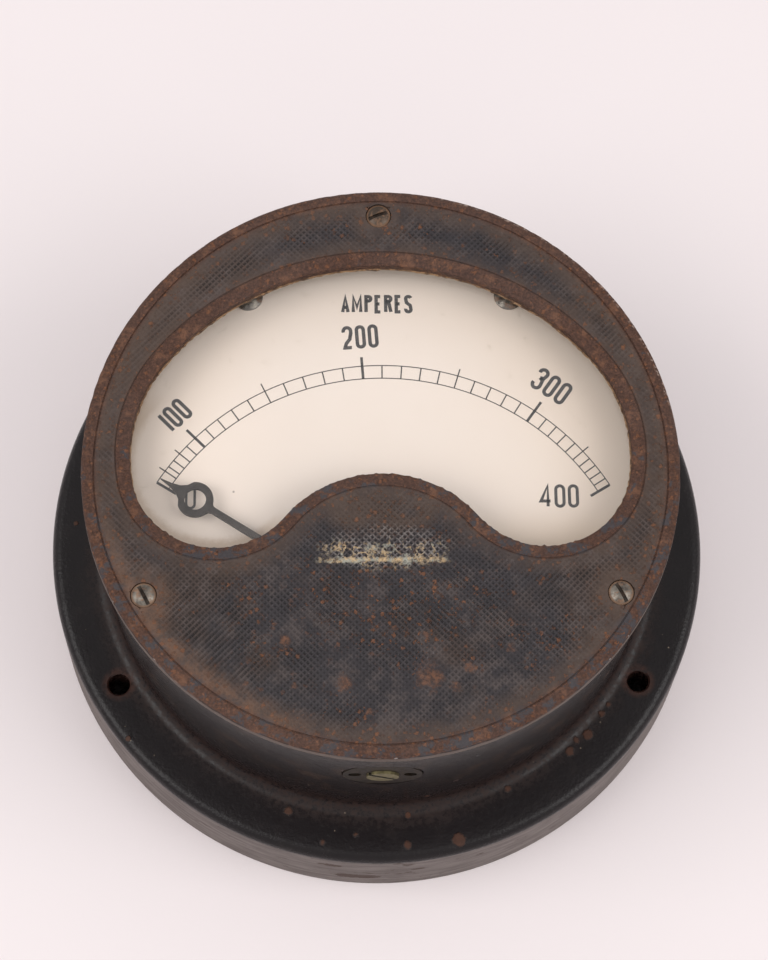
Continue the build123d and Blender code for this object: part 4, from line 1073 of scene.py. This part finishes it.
def hatch_mesh(polygons):
    """Weld the polygons, add skirts down to the sunk base and keep each point's pit depth."""
    bm = bmesh.new()
    layer = bm.verts.layers.float.new("pit")
    seen = {}
    for polygon in polygons:
        corners = []
        for x, y, z, pit in polygon:
            key = (round(x, 2), round(y, 2))
            if key not in seen:
                seen[key] = bm.verts.new((x * MM, y * MM, z * MM))
                seen[key][layer] = pit / HATCH_DEPTH
            if seen[key] not in corners:
                corners.append(seen[key])
        if len(corners) > 2:
            try:
                bm.faces.new(corners)
            except ValueError:
                continue
    edge = [e for e in bm.edges if e.is_boundary]
    made = bmesh.ops.extrude_edge_only(bm, edges=edge)
    for vert in made["geom"]:
        if isinstance(vert, bmesh.types.BMVert):
            vert.co.z = (COVER_FACE_Z - HATCH_SUNK - 0.02) * MM
    bmesh.ops.recalc_face_normals(bm, faces=bm.faces)
    mesh = bpy.data.meshes.new("cover_hatch")
    bm.to_mesh(mesh)
    bm.free()
    smooth_by_angle(mesh, 55)
    piece = bpy.data.objects.new("cover_hatch", mesh)
    bpy.context.scene.collection.objects.link(piece)
    return piece


def build_cover():
    body = cover_body()
    shade_attributes(body)
    place(body, "case", "cover_iron", ["front_cover"])
    hatch = cover_hatch()
    shade_attributes(hatch)
    place(hatch, "case", "cover_iron")


# --- case -------------------------------------------------------------------------------------

def case_profile():
    """Section of the case, with its rounded flange edge and the fillet at the tube's foot."""
    foot_r, top_r, flange_z = 102.2, 101.6, 32.4
    edge_r, fillet_r, tube_r, bore_r = 3.2, 4.2, 84.2, 80.2
    profile = [(foot_r - 0.4, 0.0), (foot_r, 0.5), (102.0, 10.0), (101.8, 20.0)]
    profile += arc(top_r - edge_r, flange_z - edge_r, edge_r, 0, 90, 14)
    profile += [(94.0, flange_z), (91.0, flange_z)]
    profile += arc(tube_r + fillet_r, flange_z + fillet_r, fillet_r, 270, 180, 12)
    profile += [(tube_r, z) for z in (45.0, 60.0, 75.0, 90.0, 99.0)]
    profile += [(tube_r - 0.4, 99.4), (bore_r, 99.4), (bore_r, 28.5)]
    profile += [(96.6, 28.5), (97.6, 27.5), (98.2, 0.4), (98.6, 0.0)]
    return profile


# Lugs cast inside the case and the holes in them: radius, lowest and highest point.
MOUNT_LUG, COVER_LUG, BACK_LUG = (7.5, 0.3, 29.5), (5.0, 84.0, 99.2), (5.5, 28.7, 37.0)
MOUNT_HOLE = ((3.3, -1), (3.3, 31.9), (3.8, 32.4), (3.8, 36))
COVER_HOLE, BACK_HOLE = (2.0, 86, 100.5), (2.05, 27.5, 35.5)
BACK_SCREWS_AT = [polar(75.5, angle) for angle in (45, 135, 225, 315)]
# The zero adjuster's seat and hole: radius, and their reach toward the front of the tube.
ADJUSTER_BORES = ((11.8, 82.6, 90.0), (7.1, 76.0, 90.0))


def build_case():
    points, faces = lathe_shape(case_profile(), 240)
    made = mesh_object("case_casting", points, faces, 30)
    fix_normals(made)
    lugs = []
    for size, places in ((MOUNT_LUG, MOUNT_HOLES_AT), (COVER_LUG, COVER_SCREWS_AT),
                         (BACK_LUG, BACK_SCREWS_AT)):
        lugs += [rod("lug", *size, x, y) for x, y in places]
    combine(made, lugs, "UNION")
    cutters = []
    for (x, y), screw in zip(MOUNT_HOLES_AT, COVER_SCREWS_AT):
        cutters.append(lathe("cutter", MOUNT_HOLE, 64, at=(x, y, 0)))
        cutters.append(rod("cutter", *COVER_HOLE, *screw, 32))
    for screw in BACK_SCREWS_AT:
        cutters.append(rod("cutter", *BACK_HOLE, *screw, 32))
    across = Matrix.Rotation(math.radians(90), 4, "X")
    for radius, low, high in ADJUSTER_BORES:
        bore = [(radius, low), (radius, high)]
        cutters.append(lathe("cutter", bore, 72, at=(0, 0, ADJUSTER_Z), turn=across))
    combine(made, cutters, "DIFFERENCE")
    smooth_by_angle(made.data, 30)
    place(made, "case", "case_enamel", ["case_shell"])


# --- dial print -------------------------------------------------------------------------------

SCALE_CENTRE = (0.47, -41.87)
SCALE_OUTER_R, SCALE_INNER_R = 77.43, 73.41
ZERO_ANGLE = 147.89
CARDINAL_POINTS = (
    (0, 0.0), (50, 3.1), (75, 7.1), (100, 13.0), (125, 21.2), (150, 31.6), (200, 53.8),
    (250, 75.0), (300, 93.6), (325, 100.9), (350, 107.5), (375, 112.6), (400, 117.0),
)
INK_THICK = 0.025
THIN_LINE, TICK_LINE, HEAVY_LINE = 0.30, 0.38, 0.80
# Outer ends of the ticks that pass the scale's outer line, and the inner end of the first and last.
LONG_TICKS = {50: 79.5, 80: 79.3, 150: 80.1, 250: 79.7, 350: 79.6}
HEAVY_TICKS = {100: 81.0, 200: 80.3, 300: 80.8}
END_TICK_R = 70.8
# Figures along the scale: word, angle and width.
FIGURE_R, FIGURE_HEIGHT, FIGURE_LINE = 86.8, 7.5, 1.06
FIGURES = (("100", 134.3, 8.5), ("200", 94.0, 10.8), ("300", 54.5, 11.5))
# Level words: centre, height, width and line.
LEVEL_WORDS = (
    ("400", (52.0, -5.5), 7.2, 11.6, 0.92),
    ("0", (-55.3, -5.4), 7.2, 3.2, 0.74),
    ("AMPERES", (-0.5, 55.2), 6.0, 21.4, 1.04),
)


def deflection(amperes):
    """Pointer angle for a reading, by a smooth cubic through the listed cardinal points."""
    xs = [p[0] for p in CARDINAL_POINTS]
    ys = [p[1] for p in CARDINAL_POINTS]
    slopes = []
    for i in range(len(xs)):
        low, high = max(0, i - 1), min(len(xs) - 1, i + 1)
        slopes.append((ys[high] - ys[low]) / (xs[high] - xs[low]))
    for i in range(len(xs) - 1):
        if amperes <= xs[i + 1]:
            break
    width = xs[i + 1] - xs[i]
    t = (amperes - xs[i]) / width
    rise = (2 * t ** 3 - 3 * t ** 2 + 1) * ys[i] + (3 * t ** 2 - 2 * t ** 3) * ys[i + 1]
    bend = (t ** 3 - 2 * t ** 2 + t) * slopes[i] + (t ** 3 - t ** 2) * slopes[i + 1]
    return rise + bend * width


class Print:
    """Ink on the dial: flat strokes a few hundredths of a millimetre thick."""

    def __init__(self):
        self.points = []
        self.faces = []

    def stroke(self, path, width, closed=False):
        """A mitred line of constant width along a path of (x, y) points."""
        count = len(path)
        left, right = [], []
        for i, (x, y) in enumerate(path):
            before = path[i - 1] if (closed or i) else None
            after = path[(i + 1) % count] if (closed or i < count - 1) else None
            into = Vector((x - before[0], y - before[1])).normalized() if before else None
            out = Vector((after[0] - x, after[1] - y)).normalized() if after else None
            along = (into or out) + (out or into)
            along.normalize()
            normal = Vector((-along.y, along.x))
            lean = abs(normal.dot(Vector((-(into or out).y, (into or out).x))))
            half = normal * (width / 2 / max(0.5, lean))
            left.append((x + half.x, y + half.y))
            right.append((x - half.x, y - half.y))
        self.ribbon(left, right, closed)

    def ribbon(self, left, right, closed):
        count = len(left)
        start = len(self.points)
        for z in (DIAL_Z, DIAL_Z + INK_THICK):
            self.points += [(x, y, z) for x, y in left]
            self.points += [(x, y, z) for x, y in right]
        low_l, low_r, high_l, high_r = (start + count * k for k in range(4))
        for i in range(count if closed else count - 1):
            j = (i + 1) % count
            self.faces.append((high_r + i, high_r + j, high_l + j, high_l + i))
            self.faces.append((low_l + i, low_l + j, low_r + j, low_r + i))
            self.faces.append((high_l + i, high_l + j, low_l + j, low_l + i))
            self.faces.append((low_r + i, low_r + j, high_r + j, high_r + i))
        if not closed:
            last = count - 1
            self.faces.append((low_l, low_r, high_r, high_l))
            self.faces.append((low_l + last, high_l + last, high_r + last, low_r + last))

    def text(self, word, centre, height, width, weight, turn=0.0):
        """Condensed block capitals and figures, fitted into a box about a centre."""
        spins = Matrix.Rotation(math.radians(turn), 2)
        widths = [GLYPH_WIDTH.get(c, 1.0) for c in word]
        gap = 0.22
        unit = width / (sum(widths) + gap * (len(word) - 1))
        x = -width / 2
        for letter, share in zip(word, widths):
            wide = share * unit - weight
            for path, closed in glyph(letter, wide, height - weight):
                moved = []
                for px, py in path:
                    spot = spins @ Vector((x + weight / 2 + px, py - (height - weight) / 2))
                    moved.append((centre[0] + spot.x, centre[1] + spot.y))
                self.stroke(moved, weight, closed)
            x += (share + gap) * unit


GLYPH_WIDTH = {"1": 0.40, "M": 1.25, "2": 1.05, "3": 1.05, "4": 1.15, "E": 0.88, "P": 0.95}


def glyph(letter, w, h):
    """Centrelines of one character, as (points, closed) pairs, in a box of w by h."""
    r = w / 2
    bowl = min(r, h / 4)
    if letter == "0":
        return [(arc(r, h - r, r, 0, 180, 12) + arc(r, r, r, 180, 360, 12), True)]
    if letter == "1":
        return [([(w, 0), (w, h)], False)]
    if letter == "2":
        neck = [(w, h - r - 0.10 * h), (0.80 * w, 0.42 * h), (0.30 * w, 0.22 * h), (0.08 * w, 0.0)]
        return [(arc(r, h - r, r, 200, 0, 12) + neck + [(w, 0)], False)]
    if letter == "3":
        upper = arc(r, h - r, r, 195, -20, 12) + [(0.86 * w, 0.60 * h), (0.42 * w, 0.545 * h)]
        lower = [(0.42 * w, 0.545 * h), (0.88 * w, 0.48 * h)] + arc(r, r, r, 20, -195, 12)
        return [(upper, False), (lower, False)]
    if letter == "4":
        stem = 0.74 * w
        return [([(w, 0.26 * h), (0, 0.26 * h), (stem, h), (stem, 0)], False)]
    if letter == "A":
        return [([(0, 0), (r, h), (w, 0)], False), ([(0.22 * w, 0.30 * h), (0.78 * w, 0.30 * h)], False)]
    if letter == "M":
        return [([(0, 0), (0, h), (r, 0.30 * h), (w, h), (w, 0)], False)]
    if letter == "E":
        middle = [(0, 0.52 * h), (0.82 * w, 0.52 * h)]
        return [([(w, h), (0, h), (0, 0), (w, 0)], False), (middle, False)]
    if letter in "PR":
        head = [(0, 0), (0, h), (w - bowl, h)] + arc(w - bowl, h - bowl, bowl, 80, -80, 8)
        paths = [(head + [(0, h - 2 * bowl)], False)]
        if letter == "R":
            paths.append(([(0.55 * w, h - 2 * bowl), (w, 0)], False))
        return paths
    curve = arc(r, h - r, r, 20, 180, 10) + [(0.15 * w, 0.60 * h), (0.85 * w, 0.42 * h)]
    return [(curve + arc(r, r, r, 0, -200, 12), False)]


def build_dial_print():
    ink = Print()
    for radius in (SCALE_OUTER_R, SCALE_INNER_R):
        turns = (ZERO_ANGLE, ZERO_ANGLE - deflection(400))
        ink.stroke(arc(*SCALE_CENTRE, radius, *turns, 160), THIN_LINE)
    for amperes in [0] + list(range(50, 401, 10)):
        angle = ZERO_ANGLE - deflection(amperes)
        outer, inner, width = SCALE_OUTER_R, SCALE_INNER_R, TICK_LINE
        outer = LONG_TICKS.get(amperes, outer)
        if amperes in HEAVY_TICKS:
            outer, width = HEAVY_TICKS[amperes], HEAVY_LINE
        if amperes in (0, 400):
            inner, width = END_TICK_R, HEAVY_LINE
        ink.stroke([polar(outer, angle, SCALE_CENTRE), polar(inner, angle, SCALE_CENTRE)], width)
    for word, angle, width in FIGURES:
        spot = polar(FIGURE_R, angle, SCALE_CENTRE)
        ink.text(word, spot, FIGURE_HEIGHT, width, FIGURE_LINE, angle - 90)
    for word in LEVEL_WORDS:
        ink.text(*word)
    made = mesh_object("dial_print", ink.points, ink.faces, 30)
    fix_normals(made)
    place(made, "case", "dial_enamel", material=MATERIALS["dial_ink"])


# --- pointer ----------------------------------------------------------------------------------

REST_ANGLE = 147.2
SPRING_TURNS, SPRING_STRIP = 6, 0.25
SPRING_INNER_R, SPRING_OUTER_R = 3.05, 11.2
RING_CENTRE, RING_R, RING_BORE = 63.9, 5.3, 3.15


def pointer_sides():
    """Right-hand edge of the stem, ring and spear, from the hub to the tip."""
    edge = [(2.9, 1.15), (20.0, 1.10), (40.0, 1.03), (57.6, 0.97), (58.5, 1.25)]
    edge += [polar(RING_R, a, (RING_CENTRE, 0)) for a in range(157, 50, -8)]
    return edge + [(68.1, 2.5), (69.9, 1.25), (72.2, 0.58), (74.5, 0.24), (75.9, 0.07)]


def build_pointer():
    """A blackened sheet pointer with softened edges and a ring near its tip."""
    right = pointer_sides()
    outline = right + [(x, -y) for x, y in reversed(right)]
    low, high = (c / MM for c in (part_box("pointer")[0].z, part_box("pointer")[1].z))
    made = prism("pointer_blade", outline, low, high)
    combine(made, [rod("cutter", RING_BORE, low - 1, high + 1, RING_CENTRE, 0, 48)], "DIFFERENCE")
    bevel(made, 0.28, 3, 50)
    turn = at_mm(*PIVOT, 0) @ Matrix.Rotation(math.radians(REST_ANGLE), 4, "Z")
    made.data.transform(turn)
    smooth_by_angle(made.data, 50)
    place(made, "pointer_system", "pointer_black", ["pointer"])


def build_hairspring():
    """The spiral strip, a hair short of the lever's stud so that it clears the stud as it turns."""
    low, high = (c.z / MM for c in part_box("hairspring"))
    steps = SPRING_TURNS * 36
    edges = []
    for shift in (0.0, SPRING_STRIP):
        edge = []
        for i in range(steps + 1):
            share = i / steps
            radius = SPRING_INNER_R + (SPRING_OUTER_R - SPRING_INNER_R) * share + shift
            edge.append(polar(radius, 90 + 360 * SPRING_TURNS * share, PIVOT))
        edges.append(edge)
    made = prism("hairspring_coil", edges[0] + edges[1][::-1], low, high)
    place(made, "pointer_system", "spring_bronze", ["hairspring"])


# --- screws -----------------------------------------------------------------------------------

SLOT_WIDTH = 0.30
# Head radius, height of the crown, then the shank's radius and lowest point.
COVER_SCREW, DIAL_SCREW = (3.6, 2.15, (2.0, 87.2)), (4.4, 2.0, (1.9, 81.2))
COVER_SLOT_TURNS = (20, -62, -62)
# Dial screws: place and turn of the slot.
DIAL_SCREWS = ((38.9, 57.6, 35), (-38.9, 57.6, -20), (62.0, -24.0, 10), (-62.0, -24.0, 70))


def slotted_screw(x, y, seat, slot_turn, head_r, crown, shank):
    """A round-headed screw with a slot; shank is (radius, lowest height)."""
    rise = 0.62 * crown
    ball_r = (head_r ** 2 + rise ** 2) / (2 * rise)
    dome = []
    for i in range(10):
        reach = head_r * (1 - i / 9) + 0.12 * i / 9
        dome.append((reach, seat + crown - ball_r + math.sqrt(ball_r ** 2 - reach ** 2)))
    profile = [(shank[0], shank[1]), (shank[0], seat), (head_r - 0.15, seat), (head_r, seat + 0.15)]
    made = lathe("screw", profile + dome, 64, sharp=40, at=(x, y, 0))
    turn = at_mm(x, y, seat + crown) @ Matrix.Rotation(math.radians(slot_turn), 4, "Z")
    slot = box_shape("cutter", (3 * head_r, head_r * SLOT_WIDTH, crown * 1.1), turn)
    combine(made, [slot], "DIFFERENCE")
    smooth_by_angle(made.data, 30)
    return made


def build_screws():
    heads = []
    for (x, y), slot in zip(COVER_SCREWS_AT, COVER_SLOT_TURNS):
        heads.append(slotted_screw(x, y, COVER_FACE_Z - SCREW_SEAT_DROP, slot, *COVER_SCREW))
    made = join("cover_screw_set", heads)
    place(made, "case", "screw_steel", ["cover_screws"])
    heads = [slotted_screw(x, y, DIAL_Z, slot, *DIAL_SCREW) for x, y, slot in DIAL_SCREWS]
    made = join("dial_screw_set", heads)
    place(made, "case", "screw_steel", ["dial_screws"])


# --- putty, nuts and studs --------------------------------------------------------------------

PUTTY_BASE_Z = COVER_FACE_Z - 3.4
NUT_FLATS, NUT_BORE = 13.0, 4.05
NUT_HEIGHTS = ((10.0, 14.5), (15.5, 21.0))
# Stud: radius of the plain end and over the thread, then pitch, depth and where the thread starts.
STUD_RADII, STUD_THREAD = (3.6, 4.0), (1.25, 0.55, 9.8)


def build_putty():
    """Crumbled sealing putty on the glass, just inside the window's edge."""
    count = len(OUTLINE)
    loops = [[] for _ in range(5)]
    for x, y, nx, ny in OUTLINE:
        crumb = 0.40 + 0.8 * wobble(x, y, 0, 1.5, 31.0) + 0.5 * wobble(x, y, 0, 9.0, 33.0)
        width = 0.12 + 0.50 * min(1.0, max(0.0, crumb))
        rise = 0.30 + 0.9 * width
        section = ((0.55, GLASS_TOP_Z), (0.55, PUTTY_BASE_Z - 0.1), (-0.35 * width, GLASS_TOP_Z + rise),
                   (-width, GLASS_TOP_Z + 0.4 * rise), (-width, GLASS_TOP_Z))
        for loop, (out, z) in zip(loops, section):
            loop.append((x + nx * out, y + ny * out, z))
    points = [p for loop in loops for p in loop]
    made = mesh_object("window_putty", points, loops_to_faces(count, len(loops), True), 60)
    fix_normals(made)
    place(made, "case", "gasket_felt", material=putty())


def hex_nut(name, x, y, low, high, flats, bore):
    """A hexagon nut with turned chamfers at both ends."""
    corner = flats / math.sqrt(3)
    outline = [polar(corner, 60 * i, (x, y)) for i in range(6)]
    made = prism(name, outline, low, high)
    edge = 0.55 * (corner - flats / 2)
    cone = [(flats / 2 - 0.1, low - 0.01), (corner + 0.05, low + edge + 0.15),
            (corner + 0.05, high - edge - 0.15), (flats / 2 - 0.1, high + 0.01)]
    combine(made, [lathe("cutter", cone, 72, at=(x, y, 0))], "INTERSECT")
    hole = [(bore + 0.4, low - 1), (bore + 0.4, low), (bore, low + 0.4), (bore, high - 0.4),
            (bore + 0.4, high), (bore + 0.4, high + 1)]
    combine(made, [lathe("cutter", hole, 48, at=(x, y, 0))], "DIFFERENCE")
    smooth_by_angle(made.data, 30)
    return made


def threaded_rod(name, x, y, low, high, radius, pitch, depth, plain_below):
    """A stud whose surface rises and falls along a real helix above its plain end."""
    around, per_turn = 40, 6
    rows = int((high - low) / pitch * per_turn)
    points = []
    for row in range(rows + 1):
        z = low + (high - low) * row / rows
        ends = smoothstep(plain_below, plain_below + pitch, z) * smoothstep(high - 0.2, high - 1.2, z)
        for i in range(around):
            phase = (z / pitch - i / around) % 1.0
            groove = depth * abs(2 * phase - 1) * ends
            taper = 0.6 * (1 - smoothstep(0.0, 0.6, min(z - low, high - z)))
            reach = (radius[0] if z < plain_below else radius[1]) - groove - taper
            points.append((*polar(reach, 360 * i / around, (x, y)), z))
    faces = loops_to_faces(around, rows + 1, False)
    faces.append(tuple(range(around))[::-1])
    faces.append(tuple(range(rows * around, (rows + 1) * around)))
    made = mesh_object(name, points, faces, 50)
    fix_normals(made)
    return made


def both_terminals(name, make, replaced):
    """Join what make builds at each terminal and let it stand for the CAD node."""
    low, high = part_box("terminal_studs")
    reach = (high.x - low.x) / 2 / MM
    y = (high.y + low.y) / 2 / MM
    x = reach - (high.y - low.y) / 2 / MM
    made = join(name, [part for side in (x, -x) for part in make(side, y)])
    smooth_by_angle(made.data, 40)
    place(made, "case", "terminal_brass", [replaced])


def build_terminals():
    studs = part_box("terminal_studs")
    low, high = studs[0].z / MM, studs[1].z / MM
    both_terminals("terminal_stud_pair", lambda x, y: [
        threaded_rod("stud", x, y, low, high, STUD_RADII, *STUD_THREAD)], "terminal_studs")
    both_terminals("terminal_nut_set", lambda x, y: [
        hex_nut("nut", x, y, *reach, NUT_FLATS, NUT_BORE) for reach in NUT_HEIGHTS], "terminal_nuts")


# --- stage ------------------------------------------------------------------------------------

WORLD_COLOUR, WORLD_STRENGTH = (1.0, 0.985, 0.985, 1.0), 0.69
# Soft boxes: place, size, power and colour.
SOFT_BOXES = {
    "left_box": ((-930, -220, 1180), (950, 950), 8.2, (1.0, 0.985, 0.97)),
    "right_box": ((950, -330, 1100), (900, 900), 7.1, (1.0, 0.99, 0.98)),
}
LIGHT_TARGET = (0, 0, 60)
CAMERA_LENS, CAMERA_PLACE = 97.5, (-14.33, -246.84, 807.85)
CAMERA_AHEAD, CAMERA_RIGHT = (0.020239, 0.325069, -0.945474), (0.999783, -0.011285, 0.017521)
FLOOR_REACH = 2500


def floor_material():
    f = Finish("floor")
    colour = f.mix(f.noise(160.0, 4.0, 0.5), (0.845, 0.775, 0.785), (0.865, 0.795, 0.805))
    return f.finish(colour, 0.75, 0.0, f.bump(f.noise(3.0, 5.0, 0.6), 0.05))


def build_floor():
    r = FLOOR_REACH
    made = mesh_object("floor", [(-r, -r, 0), (r, -r, 0), (r, r, 0), (-r, r, 0)], [(0, 1, 2, 3)])
    made.data.materials.append(floor_material())


def area_light(name, place_mm, size_mm, power, colour):
    """A rectangular soft box that faces the meter."""
    lamp = bpy.data.lights.new(name, "AREA")
    lamp.shape = "RECTANGLE"
    lamp.size, lamp.size_y = size_mm[0] * MM, size_mm[1] * MM
    lamp.energy = power
    lamp.color = colour
    made = bpy.data.objects.new(name, lamp)
    bpy.context.scene.collection.objects.link(made)
    made.location = Vector(place_mm) * MM
    aim = Vector(LIGHT_TARGET) - Vector(place_mm)
    made.rotation_mode = "QUATERNION"
    made.rotation_quaternion = aim.to_track_quat("-Z", "Y")
    return made


def build_lights():
    world = bpy.data.worlds.new("studio")
    bpy.context.scene.world = world
    world.use_nodes = True
    sky = world.node_tree.nodes["Background"]
    sky.inputs["Color"].default_value = WORLD_COLOUR
    sky.inputs["Strength"].default_value = WORLD_STRENGTH
    for name, box in SOFT_BOXES.items():
        area_light(name, *box)


def build_camera():
    data = bpy.data.cameras.new("camera")
    data.sensor_width = 36.0
    data.lens = CAMERA_LENS
    data.clip_start, data.clip_end = 0.01, 10.0
    made = bpy.data.objects.new("camera", data)
    bpy.context.scene.collection.objects.link(made)
    made.location = Vector(CAMERA_PLACE) * MM
    ahead, right = Vector(CAMERA_AHEAD), Vector(CAMERA_RIGHT)
    up = right.cross(ahead)
    axes = Matrix((right, up, -ahead)).transposed()
    made.rotation_mode = "QUATERNION"
    made.rotation_quaternion = axes.to_quaternion()
    bpy.context.scene.camera = made


bpy.context.scene.view_settings.view_transform = "Standard"
build_camera()
build_lights()
build_floor()
dress_cad_nodes()
build_case()
build_cover()
build_dial_print()
build_pointer()
build_hairspring()
build_screws()
build_putty()
build_terminals()
